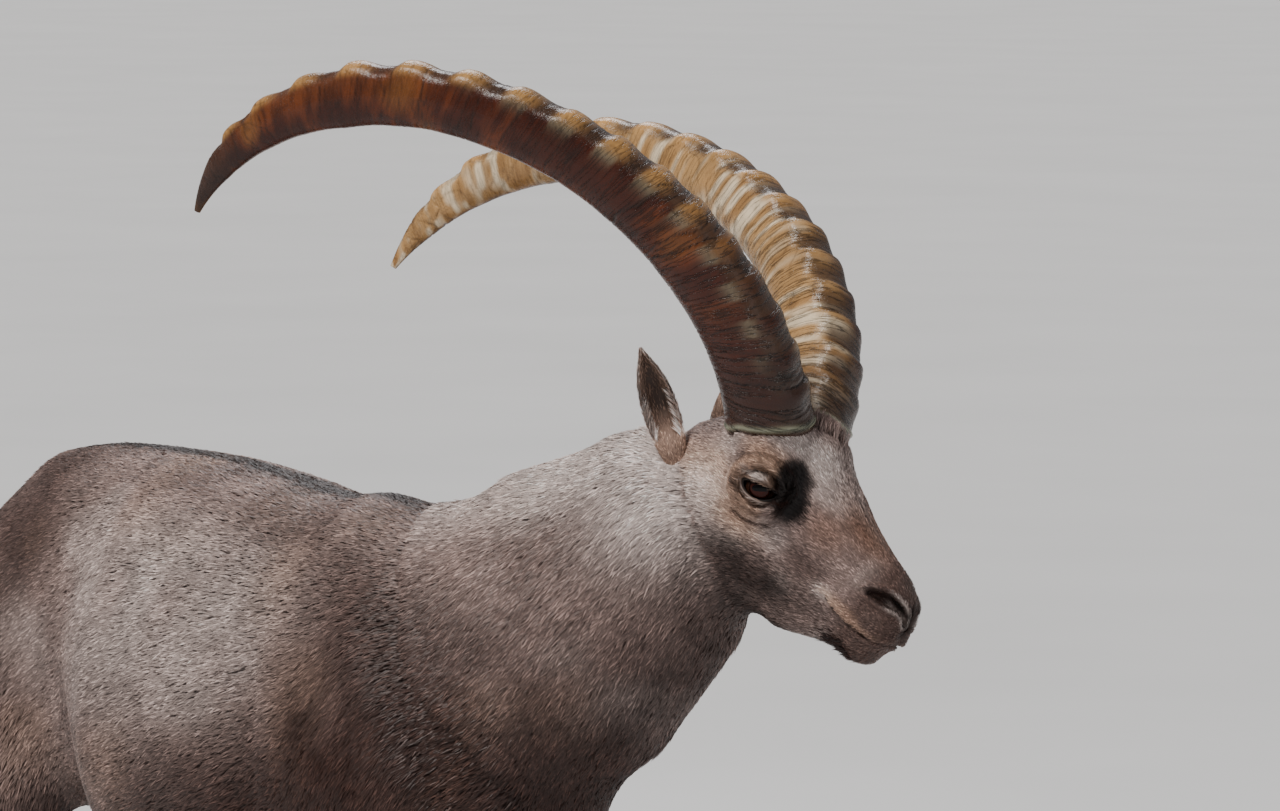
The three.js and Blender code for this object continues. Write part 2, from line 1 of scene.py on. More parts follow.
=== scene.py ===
import functools
import math
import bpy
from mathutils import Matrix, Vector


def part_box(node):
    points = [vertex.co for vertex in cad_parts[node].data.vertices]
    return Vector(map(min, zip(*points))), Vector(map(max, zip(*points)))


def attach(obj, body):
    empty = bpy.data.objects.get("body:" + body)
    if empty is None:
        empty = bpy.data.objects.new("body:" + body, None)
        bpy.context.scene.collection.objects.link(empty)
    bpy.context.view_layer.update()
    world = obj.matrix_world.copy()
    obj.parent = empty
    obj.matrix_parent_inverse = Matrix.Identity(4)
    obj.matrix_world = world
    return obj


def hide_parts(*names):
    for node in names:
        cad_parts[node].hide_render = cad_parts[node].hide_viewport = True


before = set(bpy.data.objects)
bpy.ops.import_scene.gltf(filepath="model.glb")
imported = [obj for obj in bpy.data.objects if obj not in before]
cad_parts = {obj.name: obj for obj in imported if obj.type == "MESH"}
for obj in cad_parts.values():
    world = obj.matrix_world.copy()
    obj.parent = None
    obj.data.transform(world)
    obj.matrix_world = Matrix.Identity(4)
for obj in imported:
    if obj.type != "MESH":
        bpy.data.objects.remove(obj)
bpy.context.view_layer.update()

import types

import bpy
import numpy as np
from bpy.props import FloatProperty, FloatVectorProperty, IntProperty, PointerProperty
from mathutils import Matrix, Vector

bl_info = {
    "name": "Alpine ibex",
    "version": (1, 0, 0),
    "blender": (4, 5, 0),
    "location": "View3D > Sidebar > Ibex",
    "description": "Skin, coat, horns, eyes and hooves of a life-size alpine ibex, and its stage",
    "category": "Object",
}

# Shapes are worked out in millimetres in the animal's own frame: +X forward, +Y to its left, +Z up,
# withers above X = 0, soles on Z = 0. A finished mesh is scaled to metres and moved into the row frame.
MM = 0.001
EYE_LINE = np.array([367.0, 170.0, 918.0])
HEAD_YAW = math.radians(27.3)
HEAD_ROLL = math.radians(8.0)
HEAD_PITCH = math.radians(38.0)


def box_middle(node):
    """Middle of a CAD node's box, in metres."""
    low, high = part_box(node)
    return np.array((low + high) / 2)


def turn(axis, angle):
    """Rotation matrix by an angle about X (0), Y (1) or Z (2)."""
    c, s = math.cos(angle), math.sin(angle)
    i, j = [(1, 2), (2, 0), (0, 1)][axis]
    matrix = np.eye(3)
    matrix[i, i] = matrix[j, j] = c
    matrix[i, j], matrix[j, i] = -s, s
    return matrix


# The level head frame is yawed and rolled; the skull frame is also pitched, with u to the nose and w up
LEVEL = turn(2, HEAD_YAW) @ turn(0, -HEAD_ROLL)
SKULL = LEVEL @ turn(1, HEAD_PITCH)


def skull_to_body(points):
    return points @ SKULL.T + EYE_LINE


def body_to_skull(points):
    return (points - EYE_LINE) @ SKULL


# Left eyeball's middle in the skull frame; the middle between both ties the animal's frame to the row frame
EYE_CENTRE = np.array([-6.0, 61.0, -1.0])
BETWEEN_EYES = skull_to_body(EYE_CENTRE * (1, 0, 1))
ROW_SHIFT = (box_middle("eye_left") + box_middle("eye_right")) / 2 - BETWEEN_EYES * MM


def level_to_body(points):
    return points @ LEVEL.T + EYE_LINE


def unit(vectors):
    length = np.linalg.norm(vectors, axis=-1, keepdims=True)
    return vectors / np.maximum(length, 1e-9)


def smooth(low, high, x):
    """Smooth step from 0 at low to 1 at high."""
    t = np.clip((x - low) / (high - low), 0, 1)
    return t * t * (3 - 2 * t)


def hill(x, centre, width):
    """Bell curve of height 1."""
    return np.exp(-(((x - centre) / width) ** 2))


def oval(x, centre_x, reach_x, y, centre_y, reach_y):
    """Square of the distance from a centre, 1 on the ellipse with the given reaches."""
    return ((x - centre_x) / reach_x) ** 2 + ((y - centre_y) / reach_y) ** 2


def round_angles(sides):
    """Angles of a full turn in equal steps."""
    return np.linspace(0, 2 * np.pi, sides, endpoint=False)


def hashed(points, seed):
    """Repeatable value in 0..1 for each row of whole numbers, from a folded sine."""
    folded = points @ np.array([12.9898, 78.233, 37.719]) + seed * 4.137
    return np.modf(np.abs(np.sin(folded) * 43758.5453))[0]


def hashed_grid(counts, sign, other, seed):
    """Repeatable value in 0..1 for each whole number of a grid; two more numbers tell grids apart."""
    rows = np.stack([counts.ravel(), np.full(counts.size, float(sign)), np.full(counts.size, other)], 1)
    return hashed(rows, seed).reshape(counts.shape)


def noise(points, size, seed=0):
    """Value noise in -1..1: hashed corners of a cubic grid of the given size, eased between corners."""
    scaled = np.asarray(points, float) / size
    cell = np.floor(scaled)
    part = scaled - cell
    eased = part * part * (3 - 2 * part)
    total = np.zeros(len(scaled))
    for corner in np.ndindex(2, 2, 2):
        pick = np.array(corner)
        weight = np.prod(np.where(pick == 1, eased, 1 - eased), axis=1)
        total += weight * hashed(cell + pick, seed)
    return total * 2 - 1


def catmull(points, t):
    """Points at t in 0..1 on the centripetal Catmull-Rom curve through the given rows."""
    points = np.asarray(points, float)
    spans = len(points) - 1
    place = np.clip(np.asarray(t) * spans, 0, spans - 1e-9)
    k = place.astype(int)
    w = (place - k)[:, None]
    padded = np.vstack([2 * points[0] - points[1], points, 2 * points[-1] - points[-2]])
    p0, p1, p2, p3 = (padded[k + i] for i in range(4))
    pairs = ((p0, p1), (p1, p2), (p2, p3))
    d0, d1, d2 = (((b - a) ** 2).sum(1, keepdims=True) ** 0.25 for a, b in pairs)
    d1 = np.where(d1 < 1e-4, 1.0, d1)
    d0 = np.where(d0 < 1e-4, d1, d0)
    d2 = np.where(d2 < 1e-4, d1, d2)
    m1 = ((p1 - p0) / d0 - (p2 - p0) / (d0 + d1) + (p2 - p1) / d1) * d1
    m2 = ((p2 - p1) / d1 - (p3 - p1) / (d1 + d2) + (p3 - p2) / d2) * d1
    return p1 + m1 * w + (3 * (p2 - p1) - 2 * m1 - m2) * w**2 + (2 * (p1 - p2) + m1 + m2) * w**3


# Surfaces on a grid

def loft(rows, rings, sides, start=0.0, end=0.0):
    """Grid of points (rings, sides, 3) through sections given as (top, bottom, half, egg, side).

    A ring is middle + cos * (top - middle) + sin * half * (1 + egg * cos) * side, and each end with a bulge
    is closed by rings that shrink as a quarter ellipse.
    """
    tops = np.array([row[0] for row in rows], float)
    bottoms = np.array([row[1] for row in rows], float)
    sizes = np.array([(row[2], row[3] * 100, 0) for row in rows], float)
    lateral = np.array([row[4] for row in rows], float)
    t = np.linspace(0, 1, rings)
    top, bottom, size = catmull(tops, t), catmull(bottoms, t), catmull(sizes, t)
    side = unit(catmull(lateral, t))
    angle = round_angles(sides)
    cos, sin = np.cos(angle)[None, :, None], np.sin(angle)[None, :, None]
    middle = ((top + bottom) / 2)[:, None]
    half, egg = size[:, None, :1], size[:, None, 1:2] / 100
    grid = middle + cos * ((top - bottom) / 2)[:, None] + sin * half * (1 + egg * cos) * side[:, None]
    if start > 0:
        grid = np.concatenate([dome(grid[0], grid[1], start)[::-1], grid])
    if end > 0:
        grid = np.concatenate([grid, dome(grid[-1], grid[-2], end)])
    return grid


def dome(ring, before, bulge, levels=7):
    """Rings that close an end: each shrinks by cos and moves outwards by bulge * sin, up to 88 degrees."""
    centre = ring.mean(0)
    outward = unit(centre - before.mean(0))
    angle = np.linspace(0, math.radians(88), levels + 1)[1:, None, None]
    return centre + (ring - centre) * np.cos(angle) + outward * bulge * np.sin(angle)


def ring_quads(rings, sides):
    """Quads of a grid that closes round its second direction."""
    a = np.arange(rings - 1)[:, None] * sides
    k = np.arange(sides)[None, :]
    n = (k + 1) % sides
    return np.stack([a + k, a + n, a + sides + n, a + sides + k], -1).reshape(-1, 4)


def end_fans(rings, sides):
    """Triangles that fan from the first and last ring to a hub point each, which follow the grid's points."""
    first = rings * sides
    ring = np.arange(sides)
    after = (ring + 1) % sides
    base = first - sides
    return np.concatenate([
        np.stack([np.full(sides, first), after, ring], -1),
        np.stack([np.full(sides, first + 1), base + ring, base + after], -1),
    ])


def sheet_faces(rows, columns):
    """Quads of an open grid."""
    a = np.arange(rows - 1)[:, None] * columns
    k = np.arange(columns - 1)[None, :]
    return np.stack([a + k, a + k + 1, a + columns + k + 1, a + columns + k], -1).reshape(-1, 4)


def tube(grid):
    """Closed surface of a grid of rings: the points with both hubs added, the quads and the end fans."""
    quads, fans = ring_quads(*grid.shape[:2]), end_fans(*grid.shape[:2])
    points = np.vstack([grid.reshape(-1, 3), grid[0].mean(0), grid[-1].mean(0)])
    if enclosed(points, quads, fans) < 0:
        quads, fans = quads[:, ::-1], fans[:, ::-1]
    return points, quads, fans


def halves(quads):
    """Both triangles of each quad."""
    return np.vstack([quads[:, [0, 1, 2]], quads[:, [0, 2, 3]]])


def enclosed(points, quads, triangles):
    """Signed volume inside the faces, which is negative when they point inwards."""
    corners = np.vstack([triangles, halves(quads)])
    a, b, c = (points[corners[:, i]] for i in range(3))
    return float((a * np.cross(b, c)).sum() / 6)


def make_mesh(name, points, faces, to_row=True):
    """Mesh object from points in millimetres and a list of face arrays, one array for each face size."""
    placed = points * MM + ROW_SHIFT if to_row else points
    mesh = bpy.data.meshes.new(name)
    sizes = np.concatenate([np.full(len(f), f.shape[1]) for f in faces])
    corners = np.concatenate([f.reshape(-1) for f in faces])
    mesh.vertices.add(len(placed))
    mesh.vertices.foreach_set("co", placed.astype(np.float32).ravel())
    mesh.loops.add(len(corners))
    mesh.loops.foreach_set("vertex_index", corners.astype(np.int32))
    mesh.polygons.add(len(sizes))
    mesh.polygons.foreach_set("loop_start", np.concatenate([[0], np.cumsum(sizes)[:-1]]).astype(np.int32))
    mesh.update(calc_edges=True)
    mesh.validate()
    mesh.polygons.foreach_set("use_smooth", np.ones(len(mesh.polygons), bool))
    piece = bpy.data.objects.new(name, mesh)
    bpy.context.scene.collection.objects.link(piece)
    return piece


def tube_piece(name, grid):
    """Closed piece from a grid of rings, and its points with the hubs last."""
    points, quads, fans = tube(grid)
    return make_mesh(name, points, [quads, fans]), points


def with_hubs(grid):
    """Rows for each point of a grid of rings, and for its two hubs those of the first and last point."""
    rows = grid.reshape(-1, grid.shape[-1])
    return np.vstack([rows, rows[:1], rows[-1:]])


def work_on(piece):
    """Makes one piece the only selected and the active one."""
    for other in bpy.context.selected_objects:
        other.select_set(False)
    piece.select_set(True)
    bpy.context.view_layer.objects.active = piece


def point_attribute(mesh, name, values):
    """Writes one number, vector or colour for each vertex."""
    kinds = {1: ("FLOAT", "value"), 3: ("FLOAT_VECTOR", "vector"), 4: ("FLOAT_COLOR", "color")}
    values = np.asarray(values, np.float32)
    width = 1 if values.ndim == 1 else values.shape[1]
    kind, key = kinds[width]
    layer = mesh.attributes.new(name, kind, "POINT")
    layer.data.foreach_set(key, values.ravel())


def read(collection, key, width=1, kind=np.float32):
    """Values of a mesh's points, edges, faces or corners, in rows when each has more than one."""
    out = np.empty(len(collection) * width, kind)
    collection.foreach_get(key, out)
    return out.reshape(-1, width) if width > 1 else out


def read_points(mesh):
    """A mesh's points in millimetres in the animal's frame."""
    return (read(mesh.vertices, "co", 3).astype(float) - ROW_SHIFT) / MM


def read_attribute(mesh, name, width=1):
    return read(mesh.attributes[name].data, "vector" if width == 3 else "value", width).astype(float)


def read_parts(mesh):
    """Number of the part that each point came from."""
    return np.rint(read_attribute(mesh, "part")).astype(int)


# Stations of the flesh, in millimetres, from the same named sizes as the CAD solids
LEFT = np.array([0.0, 1.0, 0.0])
SIDES = ((1, "left"), (-1, "right"))
HEAD_SIDE = SKULL @ LEFT
TORSO_ROWS = [
    (196, 640, 530, 52, 0), (170, 745, 498, 88, 0), (90, 872, 472, 122, -0.06), (0, 902, 462, 140, -0.12),
    (-125, 888, 455, 163, -0.14), (-246, 899, 448, 178, -0.12), (-335, 906, 451, 181, -0.08),
    (-395, 908, 464, 165, -0.02), (-455, 908, 488, 141, 0.06), (-520, 907, 520, 126, 0.1),
    (-580, 903, 548, 120, 0.08), (-660, 889, 570, 112, 0.04), (-735, 862, 610, 88, 0),
    (-778, 815, 670, 52, 0),
]
NECK_ROWS = [
    ((-40, 0, 892), (140, 8, 500), 112, 0), ((60, 15, 904), (182, 32, 590), 112, 0.25),
    ((125, 42, 926), (225, 72, 645), 95, 0.5), ((180, 70, 947), (262, 98, 700), 81, 0.75),
    ((230, 92, 974), (302, 122, 757), 69, 0.9), ((277, 113, 989), (327, 138, 800), 57, 1),
]
FACE_ROWS = [
    (-118, 0, -104, -92, 44, 0), (-94, 20, -78, -108, 55, 0.05), (-64, 40, -48, -117, 58, 0.12),
    (-34, 56, -20, -121, 59, 0.2), (-10, 62, 6, -121, 58, 0.28), (16, 52, 28, -119, 54, 0.32),
    (44, 44, 52, -112, 48, 0.32), (73, 33, 78, -101, 42, 0.28), (100, 26, 104, -88, 36, 0.2),
    (126, 20, 126, -78, 33, 0.12), (147, 14, 145, -73, 31, 0.06), (163, 4, 159, -66, 27, 0),
    (169, -11, 166, -54, 18, 0),
]
TAIL_ROWS = [
    (-735, 860, -735, 800, 24), (-796, 851, -778, 803, 24), (-836, 822, -806, 792, 25),
    (-856, 778, -826, 768, 24), (-861, 738, -838, 734, 17),
]
FORE_ROWS = [
    (790, 50, -50, 88, 26), (720, 108, -66, 98, 42), (645, 150, -76, 101, 47), (565, 136, -66, 99, 48),
    (500, 100, -42, 95, 43), (440, 82, -6, 91, 34), (365, 72, 10, 86, 29), (305, 67, 16, 83, 26),
    (262, 71, 15, 82, 28), (226, 64, 19, 81, 23), (175, 58, 19, 80, 19), (122, 58, 18, 80, 19),
    (92, 64, 11, 80, 24), (69, 69, 20, 80, 24), (46.3, 79, 26, 80, 28),
]
HIND_ROWS = [
    (818, -600, -716, 66, 34), (745, -562, -776, 88, 48), (665, -534, -800, 96, 54),
    (595, -515, -801, 101, 55), (545, -513, -790, 104, 51), (492, -542, -776, 102, 44),
    (430, -596, -770, 97, 36), (370, -650, -779, 92, 30), (326, -690, -797, 89, 27),
    (294, -708, -793, 88, 27), (256, -717, -774, 87, 23), (208, -719, -764, 86, 20),
    (140, -715, -759, 86, 19), (93, -704, -764, 86, 24), (69, -696, -748, 86, 24),
    (46.3, -684, -737, 86, 28),
]
STANCE = {"fore_left": 24, "fore_right": -22, "hind_left": -30, "hind_right": 26}
STANCE_TOP = 520
TORSO, NECK, HEAD, TAIL, FORE, HIND, HORN_BASE_SKIN = range(7)

# The head's landmarks in its skull frame: (u, v, w), mirrored in v
EYE_RADIUS = 17.0
SOCKET_DEPTH = -4.0
GAZE = np.array([0.34, 0.93, 0.14])
HORN_BASE = np.array([-14.0, 44.0, 73.0])


def step_at(z, step):
    """Forward shift of a stepping leg at height z, as in the CAD."""
    return step * smooth(0, STANCE_TOP - 100, STANCE_TOP - z)


def torso_grid():
    rows = [((x, 0, top), (x, 0, bottom), half, egg, LEFT) for x, top, bottom, half, egg in TORSO_ROWS]
    return loft(rows, 220, 260, start=14, end=14)


def neck_grid():
    rows = []
    for crest, throat, half, turned in NECK_ROWS:
        side = LEFT * (1 - turned) + HEAD_SIDE * turned
        rows.append((crest, throat, half, -0.08, side / np.linalg.norm(side)))
    return loft(rows, 120, 160)


def face_grid():
    rows = [((tu, 0, tw), (bu, 0, bw), half, egg, LEFT) for tu, tw, bu, bw, half, egg in FACE_ROWS]
    return skull_to_body(loft(rows, 150, 140, start=10, end=4))


def tail_grid():
    rows = [((ox, 0, oz), (ix, 0, iz), half, 0, LEFT) for ox, oz, ix, iz, half in TAIL_ROWS]
    return loft(rows, 50, 48, end=9)


def leg_grid(name, sign):
    rows = []
    for z, front, back, out, half in FORE_ROWS if name.startswith("fore") else HIND_ROWS:
        shift = step_at(z, STANCE[name])
        rows.append(((front + shift, sign * out, z), (back + shift, sign * out, z), half, 0, LEFT))
    return loft(rows, 200, 90, start=30)


def bulb(centre, radii, rings=26, sides=40):
    """Ellipsoid in the skull frame: rings of latitude from pole to pole."""
    latitude = np.linspace(-88, 88, rings) * math.pi / 180
    longitude = round_angles(sides)
    a, b = np.meshgrid(latitude, longitude, indexing="ij")
    ball = np.stack([np.cos(a) * np.cos(b), np.cos(a) * np.sin(b), np.sin(a)], -1)
    return skull_to_body(ball * radii + centre)


# Horns: a cubic lean backward and a quadratic spread outward along the length, in degrees
HORN_LENGTH = 759.0
HORN_STEPS = 1200
HORN_LEAN = (-2, 223, -239, 171)
HORN_SPREAD = (28, -16, -28)
LEFT_HORN_LEAN = 2.2
LEFT_HORN_SPREAD = 6.0
HORN_EGG = 0.12
HORN_ROOT = 30.0
HORN_RIM = -14.0
RIM_RISE = 10.0
PEDICLE_FOOT = -74.0
HORN_DEPTHS = ((0, 0.27, 0.39, 0.6, 0.73, 0.84, 0.93, 1), (84, 73, 66, 60, 57, 43, 27, 6))
HORN_WIDTHS = ((0, 0.27, 0.51, 0.73, 0.84, 0.93, 1), (66, 57, 47, 40, 31, 20, 5))


def polynomial(factors, s):
    return sum(factor * s ** power for power, factor in enumerate(factors))


def horn_axes(sign, s):
    """Heading of the horn and the front and side axes of its section at each s, in the level head frame."""
    clamped = np.maximum(s, 0)
    more_lean, more_spread = (LEFT_HORN_LEAN, LEFT_HORN_SPREAD) if sign > 0 else (0, 0)
    lean = np.radians(polynomial(HORN_LEAN, clamped) + more_lean)
    spread = np.radians(polynomial(HORN_SPREAD, clamped) + more_spread * clamped ** 2)
    heading = np.stack([-np.sin(lean) * np.cos(spread), sign * np.sin(spread),
                        np.cos(lean) * np.cos(spread)], -1)
    front = np.stack([np.cos(lean), np.zeros_like(lean), np.sin(lean)], -1)
    return heading, front, unit(np.cross(heading, front))


def horn_middle(sign, s):
    """Middle line of the horn: its headings added up from the base, straight on below it."""
    fine = np.linspace(0, 1, HORN_STEPS + 1)
    heading = horn_axes(sign, (fine[1:] + fine[:-1]) / 2)[0] * HORN_LENGTH / HORN_STEPS
    path = np.vstack([np.zeros(3), np.cumsum(heading, 0)])
    inside = np.stack([np.interp(s, fine, path[:, k]) for k in range(3)], -1)
    below = np.minimum(s, 0)[:, None] * HORN_LENGTH * horn_axes(sign, np.zeros(1))[0]
    return np.array([HORN_BASE[0], sign * HORN_BASE[1], HORN_BASE[2]]) + inside + below


def horn_ring(sign, s, angle, grow=0.0, edge=1.0):
    """Points of horn sections at each s (rows) and angle (columns), angle 0 at the middle of the front.

    A section is an egg, wider in front. An edge below 1 raises cosine and sine to that power on the front
    half, which flattens the front between two blunt edges.
    """
    _, front, side = (axis[:, None] for axis in horn_axes(sign, s))
    depth = np.interp(np.maximum(s, 0), *HORN_DEPTHS)[:, None, None] / 2 + grow
    width = np.interp(np.maximum(s, 0), *HORN_WIDTHS)[:, None, None] / 2 + grow
    cos, sin = np.cos(angle)[None, :, None], np.sin(angle)[None, :, None]
    power = 1 - (1 - edge) * smooth(-0.3, 0.3, cos)
    ahead = np.sign(cos) * np.abs(cos) ** power
    beside = np.sign(sin) * np.abs(sin) ** ((1 + power) / 2)
    middle = horn_middle(sign, s)[:, None]
    return middle + front * depth * ahead + side * width * beside * (1 + HORN_EGG * cos)


def rim_rise(sign, angle):
    """How much higher the rim of skin stands on the outer side of the horn, at each angle round it."""
    return RIM_RISE * smooth(-0.4, 0.9, sign * np.sin(angle)) * smooth(-1.0, -0.2, np.cos(angle))


def pedicle_grid(sign):
    """Bony stump under the horn with the skin round it, a straight run of horn sections grown a little."""
    s = np.linspace(PEDICLE_FOOT, HORN_RIM, 30)
    angle = round_angles(72)
    grid = horn_ring(sign, s / HORN_LENGTH, angle, grow=2.4)
    lift = rim_rise(sign, angle)[None] * smooth(-50, HORN_RIM, s)[:, None]
    grid = grid + horn_axes(sign, np.zeros(1))[0] * lift[..., None]
    return level_to_body(grid)


def flesh():
    """Every tube and bulb of flesh as (part, grid)."""
    grids = [(TORSO, torso_grid()), (NECK, neck_grid()), (HEAD, face_grid()), (TAIL, tail_grid())]
    for sign, side in SIDES:
        grids.append((FORE, leg_grid("fore_" + side, sign)))
        grids.append((HIND, leg_grid("hind_" + side, sign)))
        grids.append((HEAD, bulb((-8, sign * 49, -4), (38, 31, 32))))
        grids.append((HEAD, bulb((-5, sign * 61, 14), (31, 26, 16))))
        grids.append((HEAD, bulb((158, sign * 11, -31), (15, 14, 13))))
        grids.append((HORN_BASE_SKIN, pedicle_grid(sign)))
    grids.append((HEAD, bulb((147, 0, -62), (18, 19, 13))))
    return grids


class Surface:
    """A mesh as arrays: points in millimetres in the animal's frame, faces, and its edges for smoothing."""

    def __init__(self, mesh):
        self.mesh = mesh
        self.points = read_points(mesh)
        self.ends = read(mesh.edges, "vertices", 2, np.int32)
        count = len(self.points)
        self.valence = np.maximum(np.bincount(self.ends.ravel(), minlength=count), 1)

    def average(self, values):
        """Mean of each vertex's neighbours, for one number or a row of numbers a vertex."""
        values = np.asarray(values, float)
        flat = values.reshape(len(values), -1)
        a, b = self.ends[:, 0], self.ends[:, 1]
        total = np.empty_like(flat)
        for k in range(flat.shape[1]):
            column = flat[:, k]
            total[:, k] = np.bincount(a, column[b], len(flat)) + np.bincount(b, column[a], len(flat))
        return (total / self.valence[:, None]).reshape(values.shape)

    def relaxed(self, values, rounds, share=0.6):
        for _ in range(rounds):
            values = values + share * (self.average(values) - values)
        return values

    def ease(self, share, weight=1.0):
        """Moves the points towards the mean of their neighbours, by a share times a weight."""
        self.points = self.points + share * (self.average(self.points) - self.points) * weight

    def store(self):
        self.mesh.vertices.foreach_set("co", (self.points * MM + ROW_SHIFT).astype(np.float32).ravel())
        self.mesh.update()

    def normals(self):
        return read(self.mesh.vertex_normals, "vector", 3).astype(float)


def taubin(surface, rounds):
    """Smooths without shrinking: each round averages, then steps back by a slightly larger share."""
    for _ in range(rounds):
        for share in (0.5, -0.52):
            surface.ease(share)


def relax_region(surface, weight, rounds, share=0.8):
    """Averages only the points whose weight counts, each by its weight, with the rest held still."""
    inside = weight > 0.02
    near = surface.ends[inside[surface.ends].any(1)]
    used = np.unique(near)
    renumber = np.zeros(len(weight), int)
    renumber[used] = np.arange(len(used))
    a, b = renumber[near].T
    count = len(used)
    valence = np.maximum(np.bincount(a, minlength=count) + np.bincount(b, minlength=count), 1)
    local = surface.points[used]
    pull = share * weight[used] * inside[used]
    for _ in range(rounds):
        for k in range(3):
            column = local[:, k]
            mean = (np.bincount(a, column[b], count) + np.bincount(b, column[a], count)) / valence
            local[:, k] = column + pull * (mean - column)
    surface.points[used] = local


def spread(surface, marked, rounds, gain):
    """Weight of 1 near the marked points that fades out over the surface."""
    return np.clip(surface.relaxed(marked.astype(float), rounds) * gain, 0, 1)


def form_mesh(voxel):
    """One closed surface round all the flesh: the tubes are joined by a voxel remesh that keeps the part."""
    points, faces3, faces4, parts, offset = [], [], [], [], 0
    for part, grid in flesh():
        p, quads, fans = tube(grid)
        points.append(p)
        faces4.append(quads + offset)
        faces3.append(fans + offset)
        parts.append(np.full(len(p), float(part)))
        offset += len(p)
    form = make_mesh("form", np.vstack(points), [np.vstack(faces4), np.vstack(faces3)])
    point_attribute(form.data, "part", np.concatenate(parts))
    form.data.remesh_voxel_size = voxel
    form.data.use_remesh_preserve_attributes = True
    form.data.use_remesh_fix_poles = False
    form.data.use_remesh_preserve_volume = False
    work_on(form)
    bpy.ops.object.voxel_remesh()
    return form


# Muscles, bones and hollows on the left side, mirrored on the right: place, reach and height in millimetres
BODY_RELIEF = [
    ((48, 118, 800), (30, 60, 60), 5), ((96, 120, 720), (34, 60, 60), 5),
    ((128, 105, 640), (34, 60, 40), 6), ((10, 140, 660), (56, 70, 66), 7),
    ((-20, 130, 560), (50, 60, 40), 6), ((-84, 160, 660), (20, 60, 120), -7),
    ((70, 130, 560), (30, 60, 60), -4), ((60, 120, 480), (26, 40, 40), 5),
    ((-120, 90, 850), (70, 40, 26), -4), ((-200, 170, 640), (90, 60, 110), 4),
    ((-300, 175, 560), (90, 70, 70), 6), ((-440, 140, 790), (70, 70, 56), -7),
    ((-455, 150, 640), (60, 70, 90), -3), ((-512, 118, 868), (34, 40, 26), 9),
    ((-600, 110, 800), (60, 60, 50), 5), ((-640, 100, 860), (60, 40, 22), -4),
    ((-560, 150, 640), (52, 60, 70), 8), ((-700, 120, 660), (60, 60, 80), 7),
    ((-640, 140, 640), (18, 60, 100), -5), ((-545, 130, 560), (26, 50, 26), 6),
    ((-770, 60, 800), (24, 40, 24), 7), ((150, 90, 560), (34, 70, 40), 6),
    ((176, 0, 600), (24, 16, 90), -6), ((-380, 60, 470), (70, 50, 30), 4),
]
LIMB_RELIEF = [
    ((40, 82, 285), (22, 40, 22), 2.5), ((40, 60, 285), (12, 10, 30), 1.5),
    ((22, 92, 380), (12, 14, 70), 2.5), ((56, 92, 390), (10, 14, 60), 2),
    ((40, 94, 390), (5, 12, 60), -2.5), ((26, 90, 170), (4, 10, 60), -1.8),
    ((-764, 96, 350), (8, 16, 70), -4), ((-792, 88, 330), (10, 20, 20), 3),
    ((-722, 92, 315), (14, 20, 18), 2.5), ((-752, 92, 200), (4, 10, 70), -1.8),
    ((-640, 110, 420), (24, 20, 70), 4), ((-680, 118, 400), (8, 16, 60), -3),
]


def blobs(points, table):
    """Sum of smooth bumps and hollows, each a Gaussian round its place on either side."""
    total = np.zeros(len(points))
    for place, reach, height in table:
        for sign in (1, -1):
            offset = (points - np.array(place) * (1, sign, 1)) / reach
            total += height * np.exp(-(offset ** 2).sum(1))
    return total


FOLDS = [
    ([TORSO], [NECK, FORE, HIND, TAIL], 260, 34, 700),
    ([NECK], [FORE], 260, 34, 700),
    ([HEAD], [NECK, TORSO], 50, 16, 160),
    ([HEAD], [HORN_BASE_SKIN], 20, 9, 60),
]


def shape_form(form):
    """Smooths the joined flesh, softens the folds where parts meet, and raises the muscles."""
    surface = Surface(form.data)
    part = read_parts(form.data)
    # Where two parts meet, the surface is relaxed to a soft fold: widest on the body, close on the head
    a, b = surface.ends.T
    face = surface.relaxed(((part == HEAD) | (part == HORN_BASE_SKIN)).astype(float), 6)
    taubin(surface, 10)
    for first, second, reach, gain, rounds in FOLDS:
        meeting = np.isin(part[a], first) & np.isin(part[b], second)
        meeting |= np.isin(part[b], first) & np.isin(part[a], second)
        marked = np.zeros(len(part), bool)
        marked[a[meeting]] = True
        marked[b[meeting]] = True
        relax_region(surface, spread(surface, marked, reach, gain), rounds)
    surface.store()
    limb = smooth(520, 440, surface.points[:, 2])
    rise = blobs(surface.points, BODY_RELIEF) * (1 - limb) + stepped_blobs(surface.points) * limb
    crease = smooth(0.15, 0.6, surface.relaxed((part == NECK).astype(float), 30))
    rise += neck_relief(surface.points) * crease
    surface.points += surface.normals() * (rise * (1 - face))[:, None]
    surface.store()
    return surface, part


def stepped_blobs(points):
    """Limb relief on legs that stand a step forward or back."""
    moved = points.copy()
    for name, step in STANCE.items():
        left = points[:, 1] > 0 if name.endswith("left") else points[:, 1] <= 0
        fore = points[:, 0] > -300 if name.startswith("fore") else points[:, 0] <= -300
        chosen = left & fore
        moved[chosen, 0] -= step_at(points[chosen, 2], step)
    return blobs(moved, LIMB_RELIEF)


def neck_relief(points):
    """Long muscle from behind the jaw to the breast, with the furrow above it, on both sides."""
    total = np.zeros(len(points))
    for sign in (1, -1):
        start = skull_to_body(np.array([-84.0, sign * 50.0, -70.0]))
        end = np.array([176.0, sign * 60.0, 600.0])
        along = end - start
        length = np.linalg.norm(along)
        along = along / length
        offset = points - start
        reach = np.clip(offset @ along, 0, length)
        away = offset - reach[:, None] * along
        up = np.array([0.45, 0, 0.9])
        height = away @ up
        near = np.exp(-((np.abs(away @ LEFT) / 90) ** 2))
        total += near * (6 * hill(height, 0, 26) - 6 * hill(height, 48, 20))
    return total


# Depth of the coat over the skin, in millimetres
COAT_DEPTHS = np.array([4.0, 4.4, 1.3, 5.0, 3.0, 3.0, 1.3])
LID_COAT = 1.6
# The hair of the head lies back and a little down, in the skull frame
HEAD_LIE = np.array([-1.0, 0.0, -0.12])
